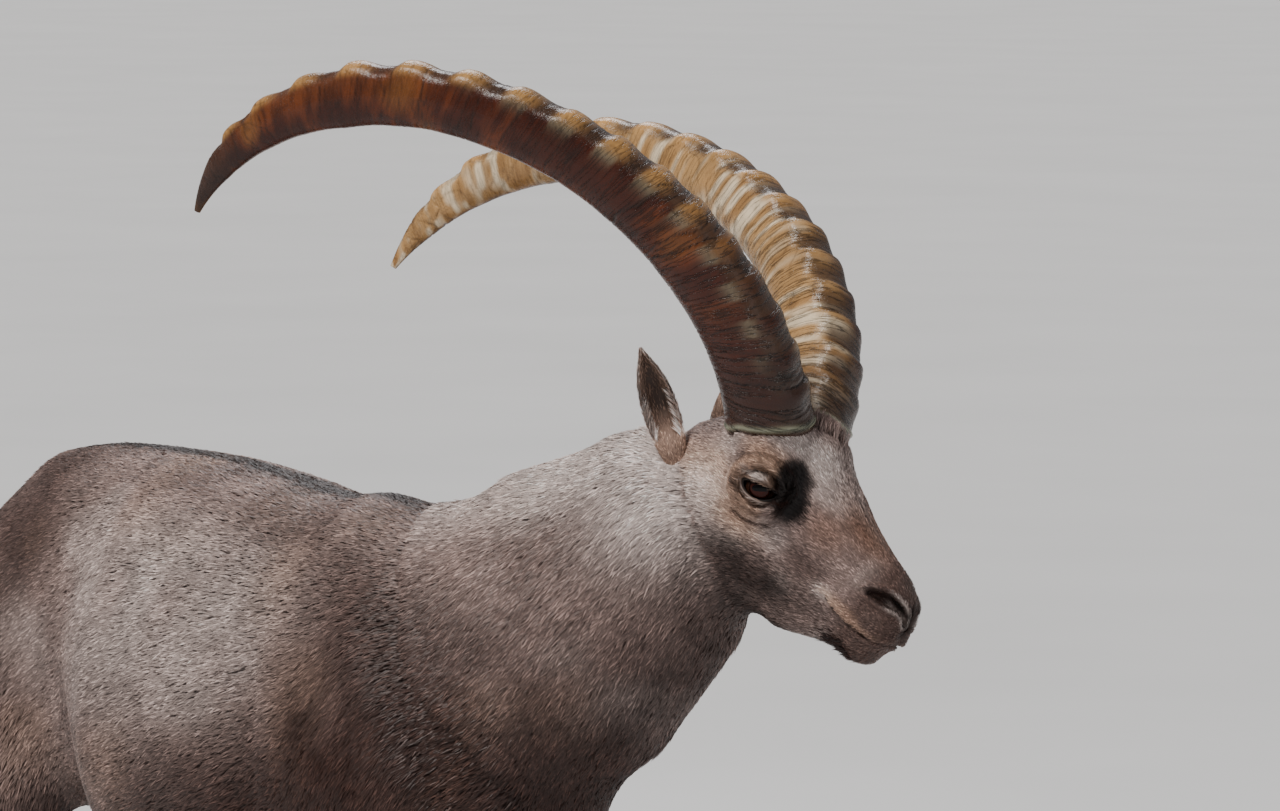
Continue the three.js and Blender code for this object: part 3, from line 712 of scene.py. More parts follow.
# How often the lie of the coat is averaged over the surface
LIE_ROUNDS = 160


def lie_of_coat(points, normals, part):
    """Direction in which the hair lies at each point, before it is smoothed over the surface."""
    lie = np.zeros_like(points)
    side = np.abs(normals[:, 1:2])
    lie[:] = np.array([-1.0, 0.0, 0.0]) + side * np.array([0.0, 0.0, -0.45])
    neck = part == NECK
    lie[neck] = np.array([-0.62, -0.2, -0.75])
    crest = neck & (normals[:, 2] > 0.5)
    lie[crest] = np.array([-0.95, -0.35, -0.2])
    head = part == HEAD
    lie[head] = SKULL @ HEAD_LIE
    lie[part == TAIL] = np.array([-0.3, 0.0, -1.0])
    limb = (part == FORE) | (part == HIND)
    lie[limb] = np.array([0.0, 0.0, -1.0])
    high = limb & (points[:, 2] > 560)
    lie[high] = np.array([-0.5, 0.0, -0.85])
    return tangent(lie, normals)


def tangent(directions, normals):
    """The directions laid flat on the surface, each one unit long."""
    flat = directions - normals * (directions * normals).sum(-1, keepdims=True)
    return unit(flat)


def select_faces(mesh, chosen):
    """Selects the faces whose corners are all chosen points, with their edges and points."""
    corners = read(mesh.loops, "vertex_index", kind=np.int32)
    starts = read(mesh.polygons, "loop_start", kind=np.int32)
    faces = np.minimum.reduceat(chosen[corners].astype(np.int8), starts).astype(bool)
    sizes = np.diff(np.append(starts, len(corners)))
    picked = np.zeros(len(mesh.vertices), bool)
    picked[corners[np.repeat(faces, sizes)]] = True
    ends = read(mesh.edges, "vertices", 2, np.int32)
    mesh.polygons.foreach_set("select", faces)
    mesh.vertices.foreach_set("select", picked)
    mesh.edges.foreach_set("select", picked[ends].all(1))


def refine(piece, chosen):
    """Splits each chosen face of a mesh into four."""
    select_faces(piece.data, chosen)
    work_on(piece)
    bpy.ops.object.mode_set(mode="EDIT")
    bpy.ops.mesh.select_mode(type="FACE")
    bpy.ops.mesh.subdivide(number_cuts=1)
    bpy.ops.object.mode_set(mode="OBJECT")


def mirrored(points):
    """Skull-frame points folded onto the positive side of v."""
    return np.where([False, True, False], np.abs(points), points)


def near_path(points, path):
    """Distance to a bent path through the given points, and how far along it, from 0 to 1."""
    path = np.asarray(path, float)
    best = np.full(len(points), 1e9)
    place = np.zeros(len(points))
    lengths = np.linalg.norm(np.diff(path, axis=0), axis=1)
    total, run = lengths.sum(), 0.0
    for a, b, length in zip(path[:-1], path[1:], lengths):
        t = np.clip(((points - a) @ (b - a)) / length ** 2, 0, 1)
        distance = np.linalg.norm(points - a - t[:, None] * (b - a), axis=1)
        closer = distance < best
        best = np.where(closer, distance, best)
        place = np.where(closer, (run + t * length) / total, place)
        run += length
    return best, place


# Lines of the face in the skull frame, on the positive side of v
NOSTRIL = [(131, 29, -10), (139, 28, -7), (149, 23, -5), (159, 16, -6), (166, 11, -10), (168, 9, -15)]
MOUTH = [(99, 33, -41), (112, 33, -45), (128, 31, -47), (146, 28, -46), (160, 21, -42),
         (169, 10, -38), (172, 0, -37)]
FACIAL_CREST = [(22, 54, -36), (54, 44, -44), (88, 38, -48)]
JAW = [(-64, 46, -98), (-30, 44, -116), (20, 36, -112), (70, 26, -98), (110, 20, -84)]
NOSE_GROOVE = [(166, 0, -8), (171, 0, -22), (172, 0, -36)]
HEAD_RELIEF = [
    ((-30, 58, -62), (34, 30, 34), 4.0), ((-62, 52, -86), (22, 24, 26), 2.0),
    ((62, 42, -18), (30, 22, 20), -3.2), ((26, 52, 6), (17, 20, 20), -4.5), ((4, 0, 54), (20, 26, 16), 7),
    ((92, 30, 14), (30, 12, 14), 1.8), ((56, 30, 32), (36, 14, 12), 1.6),
    ((-2, 0, 56), (34, 26, 14), 4.0), ((16, 22, 50), (22, 14, 12), 2.5),
    ((-30, 56, 34), (18, 18, 14), 2.0), ((-68, 58, -24), (26, 18, 20), -3.0),
    ((118, 34, -28), (18, 14, 14), 3.4), ((96, 34, -44), (14, 12, 9), 2.4),
    ((138, 30, -34), (18, 12, 9), 2.2), ((160, 14, -27), (12, 14, 8), 1.4),
    ((148, 12, -62), (18, 16, 10), 2.5), ((92, 22, -70), (30, 20, 12), -3.0),
    ((-4, 40, -40), (30, 24, 14), -1.5), ((140, 16, 16), (16, 12, 8), 2.0),
]


def above_mouth(folded):
    """Whether points of the skull frame lie above the line of the mouth."""
    return folded[:, 2] > np.interp(folded[:, 0], [p[0] for p in MOUTH], [p[2] for p in MOUTH])


def nostril_width(place):
    """Half width of the nostril along its path, widest past the middle."""
    return 1.2 + 4.2 * np.sin(np.pi * np.clip(place * 0.8 + 0.16, 0, 1)) ** 1.4


def head_relief(skull):
    """Height in millimetres of the face's forms at points of the skull frame."""
    folded = mirrored(skull)
    rise = np.zeros(len(skull))
    for place, reach, height in HEAD_RELIEF:
        rise += height * np.exp(-(((folded - place) / reach) ** 2).sum(1))
    away, place = near_path(folded, NOSTRIL)
    wide = nostril_width(place)
    rise += 2.4 * hill(away, wide + 3.4, 3.0) - 11 * (1 - smooth(0.45, 1.25, away / wide))
    away, place = near_path(folded, MOUTH)
    shut = smooth(0, 0.12, place)
    lip = np.where(above_mouth(folded), 2.2 * hill(away, 4.4, 3.4), 1.2 * hill(away, 4.2, 3.2))
    rise += shut * lip - (3.6 * shut + 1.5) * hill(away, 0, 1.9)
    away, _ = near_path(folded, FACIAL_CREST)
    rise += 2.6 * hill(away, 0, 9)
    away, _ = near_path(folded, JAW)
    rise += 1.6 * hill(away, 0, 11)
    away, _ = near_path(folded, NOSE_GROOVE)
    rise -= 2.4 * hill(away, 0, 2.0)
    x, y, z = eye_place(folded, 1).T
    return rise + eye_folds(x, y) * smooth(16, 26, np.hypot(x, y)) * (z > -16)


def eye_axes(sign):
    """Axes at an eye in the skull frame: towards the inner corner, up and out along the gaze."""
    out = unit(GAZE * (1, sign, 1))
    forward = np.array([0.966, 0.0, 0.259])
    forward = unit(forward - out * (forward @ out))
    up = np.cross(forward, out) * sign
    return forward, up, out


def eye_place(skull, sign):
    """Coordinates round an eye: along the slit, up and out, in millimetres from the middle of the ball."""
    return (skull - EYE_CENTRE * (1, sign, 1)) @ np.stack(eye_axes(sign), 1)


def push_eye_sockets(skull):
    """Moves skin that lies over an eyeball back behind it, so that the lids' own surfaces show."""
    for sign in (1, -1):
        x, y, z = eye_place(skull, sign).T
        share = (1 - smooth(15, 23, np.hypot(x / 1.1, y))) * (z > -8)
        skull += (share * np.minimum(SOCKET_DEPTH - z, 0))[:, None] * eye_axes(sign)[2]
    return skull


@functools.cache
def hide(voxel):
    """Works out the skin: flesh, muscles, coat depth, then a refined head with its folds.

    The result holds it as arrays, which the skin piece and the coat share.
    """
    form = form_mesh(voxel)
    surface, part = shape_form(form)
    depth = surface.relaxed(COAT_DEPTHS[part], 30)
    part[part == HORN_BASE_SKIN] = HEAD
    normals = surface.normals()
    lie = lie_of_coat(surface.points, normals, part)
    for _ in range(LIE_ROUNDS):
        lie = tangent(surface.average(lie) * 0.9 + lie * 0.1, normals)
    surface.points -= normals * depth[:, None]
    surface.store()
    head = surface.relaxed((part == HEAD).astype(float), 8)
    for name, values in (("lie", lie), ("depth", depth), ("head", head)):
        point_attribute(form.data, name, values)
    refine(form, head > 0.6)
    skull = body_to_skull(read_points(form.data))
    refine(form, close_work(mirrored(skull)) & (read_attribute(form.data, "head") > 0.8))
    surface = Surface(form.data)
    head = read_attribute(form.data, "head")
    for _ in range(6):
        surface.ease(0.5, smooth(0.5, 0.9, head)[:, None])
    surface.store()
    shown = smooth(0.4, 0.9, head)
    surface.points += surface.normals() * (head_relief(body_to_skull(surface.points)) * shown)[:, None]
    for _ in range(2):
        surface.ease(0.4, shown[:, None])
    surface.store()
    result = types.SimpleNamespace()
    result.lids = {sign: lid_grid(surface.points, surface.normals(), sign) for sign in (1, -1)}
    surface.points = skull_to_body(push_eye_sockets(body_to_skull(surface.points)))
    surface.store()
    result.piece = form
    result.points = surface.points
    result.normals = surface.normals()
    result.part = read_parts(form.data)
    result.part[result.part == HORN_BASE_SKIN] = HEAD
    result.head = head
    result.depth = read_attribute(form.data, "depth")
    result.lie = tangent(read_attribute(form.data, "lie", 3), result.normals)
    form.data.calc_loop_triangles()
    result.triangles = read(form.data.loop_triangles, "vertices", 3, np.int32)
    return result


def close_work(folded):
    """Where the skin needs its finest faces: round the eyes, nostrils and mouth."""
    near_nose, _ = near_path(folded, NOSTRIL)
    near_mouth, _ = near_path(folded, MOUTH)
    near_eye = np.linalg.norm(folded - (-6, 63, -12), axis=1)
    return (near_nose < 13) | (near_mouth < 9) | (near_eye < 40)


# Horns

KNOB_END = 0.93
KNOB_PITCH = ((0, 0.62, KNOB_END), (31, 56, 36))
KNOB_HEIGHT = 7.0
KNOB_FADE = 0.35
HORN_EDGE = 0.7
RING_PITCH = 6.2


def knob_ends():
    """Ends of the knobs along the horn: each is a pitch beyond the one before."""
    ends = [0.0]
    after = KNOB_PITCH[1][0] / HORN_LENGTH
    while after <= KNOB_END:
        ends.append(after)
        after += float(np.interp(after, *KNOB_PITCH)) / HORN_LENGTH
    return np.array(ends)


def horn_grid(sign, rings=440, sides=96):
    """Fine horn: CAD sections with a flat front between two edges, its knobs, growth rings and low swells.

    A knob is a ridge across the front that rises slowly and falls fast, stands proudest on both edges and
    runs on round the sides as a faint swell bent towards the base. Growth rings follow the same bend, deep
    near the base and faint above. Under the rim of skin the horn narrows.
    """
    root = np.linspace(-HORN_ROOT / HORN_LENGTH, 0.985, rings - 12)
    s = np.concatenate([root, np.linspace(0.986, 0.9995, 12)])
    angle = round_angles(sides)
    grid = horn_ring(sign, s, angle, edge=HORN_EDGE)
    _, front, side = (axis[:, None] for axis in horn_axes(sign, s))
    cos, sin = np.cos(angle)[None], np.sin(angle)[None]
    full = np.ones((len(s), sides))
    around = np.stack([(s[:, None] * 60) * full, cos * 1.6 * full, sin * 1.6 * full + sign * 9], -1)
    around = around.reshape(-1, 3)
    wander = noise(around, 1.0, 21).reshape(full.shape)
    bend = 0.014 * (1 - cos) + 0.0016 * wander
    place = s[:, None] - bend * (1 - 0.5 * s[:, None])
    ends = knob_ends()
    phase = np.interp(place, ends, np.arange(len(ends)))
    phase = phase + np.minimum(place, 0) * HORN_LENGTH / KNOB_PITCH[1][0]
    count = np.floor(phase)
    vary = hashed_grid(count, sign, 0.0, 3)
    saw = phase - count
    wave = smooth(0.05, 0.58, saw) * (1 - smooth(0.66, 0.9, saw))
    knobbed = smooth(-0.012, 0.01, place) * (1 - smooth(0.9, 0.925, place))
    outer = smooth(0.1, 0.8, sin * sign)
    worn = 1 - outer * (0.35 + 0.5 * (1 - smooth(0.2, 0.5, s)))[:, None]
    face = smooth(0.2, 0.7, cos) * (1 + 0.2 * hill(cos, 0.7, 0.15)) * worn
    height = KNOB_HEIGHT * (1 - KNOB_FADE * place) * (0.72 + 0.5 * vary)
    height = height * (0.75 if sign > 0 else 0.35 + 0.75 * smooth(0.15, 0.75, place))
    rise = (wave - 0.45) * height * (0.06 + 0.94 * face) * knobbed
    # Growth rings, closest and deepest near the base, with now and then a stronger one
    ring = place * HORN_LENGTH / RING_PITCH + 1.5 * wander
    groove = hill(ring % 1.0, 0.5, 0.15)
    groove = groove * (0.2 + 1.1 * hashed_grid(np.floor(ring), sign, 1.0, 7) ** 3)
    fade = 0.3 + 0.7 * (1 - smooth(0.15, 0.5, place))
    if sign > 0:
        fade = fade + 0.6 * smooth(0.8, 0.88, place)
    rise = rise - 1.4 * groove * fade * (1 - 0.6 * face * wave)
    rise = rise + 0.6 * noise(around * (0.25, 1.1, 1.1), 1.0, 5).reshape(full.shape)
    below_rim = s[:, None] * HORN_LENGTH - rim_rise(sign, angle)[None]
    rise = rise + 1.7 * hill(below_rim, HORN_RIM + 1.5, 2.2)
    rise = rise - 6.0 * smooth(HORN_RIM - 1, -HORN_ROOT, below_rim)
    out = unit(front * cos[..., None] + side * sin[..., None] * 0.8)
    tip = (1 - smooth(0.93, 1.0, s))[:, None]
    grid = grid + out * (rise * tip)[..., None]
    marks = {"wave": wave * knobbed, "groove": groove, "place": place, "rim": below_rim}
    return level_to_body(grid), s, angle, marks


def colour(hexcode):
    """Linear colour from a web code."""
    parts = np.array([int(hexcode[k:k + 2], 16) for k in (0, 2, 4)]) / 255
    return np.where(parts <= 0.04045, parts / 12.92, ((parts + 0.055) / 1.055) ** 2.4)


def blend_colours(base, other, share):
    """Mix of two colours or rows of colours by a share for each point."""
    share = np.clip(np.asarray(share, float), 0, 1)[..., None]
    return base * (1 - share) + other * share


class Layers:
    """Colours at points, built up in layers, each blended over those below by its share.

    A layer is a web code, or a tone of the palette made lighter or darker by a factor.
    """

    def __init__(self, tones, first, shape, dim=1.0):
        self.tones = tones
        self.colours = np.broadcast_to(self.tone(first, dim), shape + (3,))

    def tone(self, name, dim):
        return self.tones[name] * dim if name in self.tones else colour(name)

    def add(self, name, share, dim=1.0):
        self.colours = blend_colours(self.colours, self.tone(name, dim), share)


def horn_colours(grid, s, angle, marks, sign):
    """Dark reddish brown horn, golden inside and on its knobs, with dark cracks and a pale rim of skin;
    painted shade darkens the outer side and front, painted sunlight lightens the inside.
    """
    cos, sin = np.cos(angle)[None], np.sin(angle)[None]
    flat = grid.reshape(-1, 3)
    shape = grid.shape[:2]
    full = np.ones(shape)
    along = s[:, None] * full
    inner = smooth(-0.15, 0.6, -sin * sign) * full
    coarse = noise(flat, 60, 11).reshape(shape)
    # Bars run across the horn: short along it and long round it
    across = np.stack([marks["place"] * HORN_LENGTH, cos * 30 * full, sin * 30 * full + 200 * sign], -1)
    across = across.reshape(-1, 3)
    bars = noise(across * (1, 0.22, 0.22), 6.5, 12).reshape(shape)
    clouds = noise(across * (1, 0.7, 0.7), 34, 14).reshape(shape)
    wave, groove = marks["wave"], np.clip(marks["groove"], 0, 1)
    horn = Layers({}, "3c170a", shape)
    horn.add("6c3416", smooth(-0.2, 0.8, clouds + 0.6 * bars) * smooth(0.05, 0.3, along) * 0.75)
    horn.add("6c4026", smooth(0.5, 0.75, along) * smooth(-0.5, 0.6, cos) * (1 - inner) * 0.6)
    horn.add("33241d", smooth(0.84, 0.96, along) * (1 - inner) * 0.8)
    horn.add("8a6232", smooth(0.3, 0.9, clouds) * smooth(0.1, 0.3, along) * (1 - inner) * 0.4)
    # Golden inner side with pale and dark bars: partly the horn's own colour, partly painted sunlight and
    # highlights; the dark base colour of the outer side is partly painted shade
    horn.add("b8905f", inner * (0.85 + 0.15 * coarse))
    horn.add("7a5530", inner * smooth(0.2, 0.8, -bars + 0.3 * clouds) * 0.5)
    horn.add("f0e0c2", inner * smooth(0.0, 0.7, bars + 0.5 * clouds) * 0.7)
    # Dark front face, darkest between the knobs: painted shade
    face = smooth(0.3, 0.75, cos) * full
    horn.add("33251b", face * (1 - 0.6 * wave) * (1 - smooth(0.5, 0.75, along)) * 0.8)
    horn.add("4a3628", face * (1 - wave) * 0.5)
    horn.add("b98b52", face * wave * smooth(0.12, 0.4, along) * 0.85)
    corner = hill(cos, 0.42, 0.2) * smooth(0.35, 0.6, wave) * smooth(0.04, 0.1, along)
    horn.add("7c7560", corner * (1 - inner) * (1 - smooth(0.45, 0.6, along)) * 0.5)
    horn.add("1f130d", groove * (0.8 - 0.3 * smooth(0.5, 0.9, along)) * (1 - 0.35 * inner))
    crack = np.abs(noise(flat + 40 * along.reshape(-1, 1), 26, 13)).reshape(shape)
    horn.add("24150f", (1 - smooth(0.0, 0.06, crack)) * 0.35)
    horn.add("34221b", (1 - smooth(0.0, 0.12, along)) * 0.6)
    horn.add("8a8c76", hill(marks["rim"], HORN_RIM + 1.5, 2.8) * 0.8)
    return horn.colours


# Eyes

def eye_grid(sign, rings=72, sides=96):
    """Eyeball: circles of latitude round the gaze, with the clear front bulging a little over the iris."""
    forward, up, out = eye_axes(sign)
    polar = np.concatenate([np.linspace(0.012, 0.75, 40), np.linspace(0.78, math.pi - 0.02, rings - 40)])
    angle = round_angles(sides)
    radius = EYE_RADIUS - 0.4 + 1.1 * (1 - smooth(0.45, 0.72, polar))
    a, b = np.meshgrid(polar, angle, indexing="ij")
    ball = (np.cos(a)[..., None] * out + (np.sin(a) * np.cos(b))[..., None] * forward
            + (np.sin(a) * np.sin(b))[..., None] * up) * radius[:, None, None]
    ball = ball + EYE_CENTRE * (1, sign, 1) - 0.6 * out
    return skull_to_body(ball), a, b


PUPIL = "050304"
PUPIL_LEAN = math.radians(22)
EYE_WHITE = "2c1a12"


def eye_colours(a, b):
    """Dark amber iris with fibres, a level slit of a pupil, a dark rim and a brown white of the eye."""
    x, y = a * np.cos(b), a * np.sin(b)
    # The pupil stays level with the ground, so it leans against the tilted slit of the lids
    cos, sin = math.cos(PUPIL_LEAN), math.sin(PUPIL_LEAN)
    px, py = x * cos + y * sin, -x * sin + y * cos
    fibres = 0.5 + 0.5 * np.sin(b * 46 + 2 * np.sin(b * 9) + 5 * a)
    eye = Layers({}, "220a06", a.shape)
    eye.add("521d12", fibres * 0.5)
    eye.add("260f06", smooth(0.3, 0.62, a) * 0.7)
    eye.add("0a0605", hill(a, 0.66, 0.06))
    eye.add(EYE_WHITE, smooth(0.64, 0.76, a))
    pupil = 1 - smooth(0.85, 1.05, (px / 0.46) ** 4 + (py / 0.17) ** 2)
    # Painted shade of the heavy upper lid darkens the top of the ball
    eye.colours = eye.colours * (1 - 0.85 * smooth(-0.12, 0.2, y))[..., None]
    eye.add(PUPIL, pupil)
    return eye.colours.reshape(-1, 3)


EYE_HALF_LENGTH = 17.0
UPPER_OPENING = 4.6
LOWER_OPENING = 10.2
LID_REACH = 31
# The face's height under the lids is a mean within this reach, worked out for so many points at a time
LID_BLUR = 1.8
LID_CHUNK = 1000


def eye_folds(x, y):
    """Wrinkles round an eye: ridges and furrows that follow the slit, above and below it."""
    r = np.hypot(x / 1.2, y)
    below = smooth(3, -7, y)
    above = smooth(-3, 7, y)
    front = 1 - smooth(22, 38, x)
    lower = 0.9 * hill(r, 12.6, 1.4) - 1.7 * hill(r, 16.6, 1.3) + 1.8 * hill(r, 22.0, 3.6)
    lower -= 2.0 * hill(r, 29.5, 2.2)
    lower += 1.3 * hill(r, 36, 4) - 0.7 * hill(r, 20.4, 0.9) - 0.7 * hill(r, 25.0, 1.0)
    upper = 3.4 * hill(r, 9.0, 3.2) - 1.9 * hill(r, 15.0, 1.5) + 2.6 * hill(r, 21.0, 4.6)
    upper -= 1.2 * hill(r, 29.5, 2.4)
    upper += 1.2 * hill(r, 35, 3.5) + 1.6 * np.exp(-oval(x, -6, 11, y, 10, 4))
    return (lower * below + upper * above) * front


def slit_reach(x, y):
    """Distance from the middle of an eye, 1 at the edge of its opening."""
    return np.hypot(x / (EYE_HALF_LENGTH + 1), y / np.where(y > 0, UPPER_OPENING, LOWER_OPENING))


def lid_grid(points, normals, sign, rows=34, sides=144):
    """Lids of one eye: a sheet from the edge of the almond out to a circle on the face.

    Its height is that of the lids over the ball near the slit and that of the face further out, with the
    folds on top. The inner edge turns in to the ball and the outer edge dips under the skin.
    """
    place = eye_place(body_to_skull(points), sign)
    near = (np.hypot(place[:, 0], place[:, 1]) < 36) & (place[:, 2] > -6)
    near &= (normals @ (SKULL @ eye_axes(sign)[2])) > 0.1
    known = place[near]
    t = np.linspace(0, 1, rows)[:, None]
    angle = round_angles(sides)[None]
    opening = np.where(np.sin(angle) > 0, UPPER_OPENING, LOWER_OPENING)
    inner_x = EYE_HALF_LENGTH * np.cos(angle)
    inner_y = opening * np.sign(np.sin(angle)) * np.abs(np.sin(angle)) ** 1.25
    inner_y = inner_y + 1.2 * np.cos(angle)
    reach = t ** 0.9
    x = inner_x * (1 - reach) + LID_REACH * np.cos(angle) * reach
    y = inner_y * (1 - reach) + LID_REACH * np.sin(angle) * reach
    flat = np.stack([x.ravel(), y.ravel()], 1)
    face = np.empty(len(flat))
    for start in range(0, len(flat), LID_CHUNK):
        chunk = flat[start:start + LID_CHUNK]
        weight = np.exp(-((chunk[:, None, :] - known[None, :, :2]) ** 2).sum(2) / LID_BLUR ** 2)
        face[start:start + LID_CHUNK] = (weight @ known[:, 2]) / np.maximum(weight.sum(1), 1e-6)
    face = face.reshape(x.shape)
    r = np.hypot(x, y)
    lid = np.sqrt(np.maximum((EYE_RADIUS + 2.6) ** 2 - r ** 2, 9.0))
    share = smooth(13, 24, r)
    z = lid * (1 - share) + (face + 0.35) * share
    z = z + eye_folds(x, y) * (1 - smooth(0.93, 1, t)) * smooth(0.0, 0.1, t)
    z = z - 2.2 * smooth(0.9, 1.0, t) ** 2
    ball = np.sqrt(np.maximum((EYE_RADIUS - 1.2) ** 2 - r[0] ** 2, 1.0))
    turned = np.stack([x[0] * 1.02, y[0] * 1.02, ball - 1.0], -1)
    rim = np.stack([x[0], y[0], (z[0] * 0.35 + ball * 0.65)], -1)
    grid = np.concatenate([turned[None], rim[None], np.stack([x, y, z], -1)])
    skull = grid @ np.stack(eye_axes(sign)) + EYE_CENTRE * (1, sign, 1)
    return skull_to_body(skull)


# Ears

EAR_ROOT = np.array([-98.0, 50.0, -42.0])
EAR_TIP = np.array([-166.0, 98.0, 20.0])
EAR_FACING = np.array([0.5, 0.8, 0.1])
EAR_HALF_WIDTH = 16.5
EAR_DEPTH = 15.0
EAR_STATIONS = (-0.16, 0.0, 0.14, 0.3, 0.5, 0.7, 0.86, 0.96, 1.06)
EAR_WIDTHS = (0.55, 0.6, 0.82, 0.98, 1.0, 0.82, 0.55, 0.3, 0.06)
EAR_DEPTHS = (0.7, 0.75, 0.9, 0.95, 0.8, 0.58, 0.36, 0.2, 0.04)


def ear_grid(sign, rows=90, sides=88):
    """Ear: a cupped shell. Half of each ring is the back, an arc; the other half is the hollow front.

    Near the root the front closes over, so the cup opens out of a short stalk, and the tip curls forward.
    """
    root, tip, facing = (v * (1, sign, 1) for v in (EAR_ROOT, EAR_TIP, EAR_FACING))
    axis = tip - root
    heading = axis / np.linalg.norm(axis)
    facing = unit(facing - heading * (facing @ heading))
    across = np.cross(heading, facing)
    t = np.linspace(EAR_STATIONS[0], EAR_STATIONS[-1], rows)
    width = np.interp(t, EAR_STATIONS, EAR_WIDTHS)
    deep = np.interp(t, EAR_STATIONS, EAR_DEPTHS)
    for _ in range(3):
        width[1:-1] = (width[:-2] + width[1:-1] + width[2:]) / 3
        deep[1:-1] = (deep[:-2] + deep[1:-1] + deep[2:]) / 3
    width, deep = width[:, None] * EAR_HALF_WIDTH, deep[:, None] * EAR_DEPTH
    angle = round_angles(sides)[None]
    cos, sin = np.cos(angle), np.sin(angle)
    opened = smooth(0.02, 0.3, t)[:, None]
    wall = 1.5 + 1.6 * (1 - opened)
    hollow = np.maximum(deep * 0.62 - wall, 0.2)
    back = -deep * 0.62 * np.maximum(sin, 0) ** 0.8
    front = np.maximum(-sin, 0) ** 0.8 * (deep * 0.4 * (1 - opened) - hollow * opened)
    # Low ribs run up inside the cup
    ribs = 1.1 * np.sin(cos * 9.0) * np.maximum(-sin, 0) * opened * smooth(0.9, 0.5, t)[:, None]
    spread = np.sign(cos) * np.abs(cos) ** 0.85
    lift = back + front + ribs
    curl = -7 * np.sin(np.pi * np.clip(t, 0, 1)) + 3 * smooth(0.8, 1.05, t)
    ring = (root + axis * t[:, None])[:, None] + facing * (lift + curl[:, None])[..., None]
    ring = ring + across * (width * spread)[..., None]
    inside = (np.maximum(-sin, 0) * opened) * np.ones_like(lift)
    return skull_to_body(ring), t, angle, inside


# Hooves

CORONET_HEIGHT = 46.0
HOOF_TOP = (24.0, -23.0)
HOOF_SOLE = (54.0, -21.0)
CLAW_HALF = 14.0
CLAW_APART = 16.5
DEWCLAW_ROWS = ((99, -34, 6), (86, -44, 9), (71, -51, 8.5), (58, -54, 3.5))
DEWCLAW_APART = 13
FEET = {"fore": (52.0, 80.0), "hind": (-711.0, 86.0)}


def claw_grid(foot, side, rows=42, sides=56):
    """One claw: rings from a flat sole to the coronet, with a straight front wall and low growth rings.

    Above the coronet it runs on, narrowing, under the skin.
    """
    t = np.concatenate([[0, 0.012], np.linspace(0.03, 1, rows - 8), np.linspace(1.06, 1.3, 6)])
    slope = np.interp(t, (0, 0.16, 0.5, 0.8, 1), (0, 0.02, 0.42, 0.78, 1))
    wide = np.interp(t, (0, 0.16, 0.5, 0.8, 1, 1.3), (0.88, 0.98, 1.04, 0.98, 0.88, 0.6))
    front = HOOF_SOLE[0] + (HOOF_TOP[0] - HOOF_SOLE[0]) * slope
    back = HOOF_SOLE[1] + (HOOF_TOP[1] - HOOF_SOLE[1]) * np.minimum(t, 1)
    back = back - 3 * np.sin(np.pi * np.minimum(t, 1))
    above = np.maximum(t - 1, 0) * 30
    front, back = front - above, back + above
    edge = np.where(t < 0.01, 0.95, 1.0)
    growth = 0.35 * np.sin(t * 46 + 1.3 * np.sin(t * 17)) * smooth(0.03, 0.1, t) * (1 - smooth(0.95, 1.0, t))
    half = (CLAW_HALF * wide + growth)[:, None] * edge[:, None]
    out = side * (CLAW_APART - 1.5 * smooth(0.7, 0.2, t))[:, None]
    angle = round_angles(sides)[None]
    cos, sin = np.cos(angle), np.sin(angle)
    x = ((front + back) / 2)[:, None] + ((front - back) / 2 + growth)[:, None] * cos * edge[:, None]
    inner_flat = np.where(sin * side < 0, 0.92, 1.0)
    y = out + half * sin * inner_flat * (1 - 0.12 * cos)
    z = (t * CORONET_HEIGHT)[:, None] + 0 * cos
    # The wall dips a little at the back, where the soft bulb of the heel lies
    z = z - 5 * smooth(0.5, 1.0, t)[:, None] * smooth(0.2, -1.0, cos) * (t[:, None] < 1.01)
    return np.stack([x + foot[0], y + foot[1], np.maximum(z, 0)], -1)


def dewclaw_grid(foot, side):
    """Small hanging claw behind the fetlock: a bent cone of round sections."""
    rows = []
    for z, x, half in DEWCLAW_ROWS:
        beside = foot[1] + side * DEWCLAW_APART
        rows.append(((foot[0] + x + half, beside, z), (foot[0] + x - half, beside, z), half * 0.9, 0, LEFT))
    return loft(rows, 22, 24, start=3, end=2)


# Markings, shared by the skin and the coat

# Height at which the flank is half dark, partly dark coat and partly painted shade, from the hip forward to
# the breast, in millimetres
DARK_LINE = ((-700, -300, -80, 50, 130, 200, 260), (600, 592, 655, 735, 770, 745, 730))


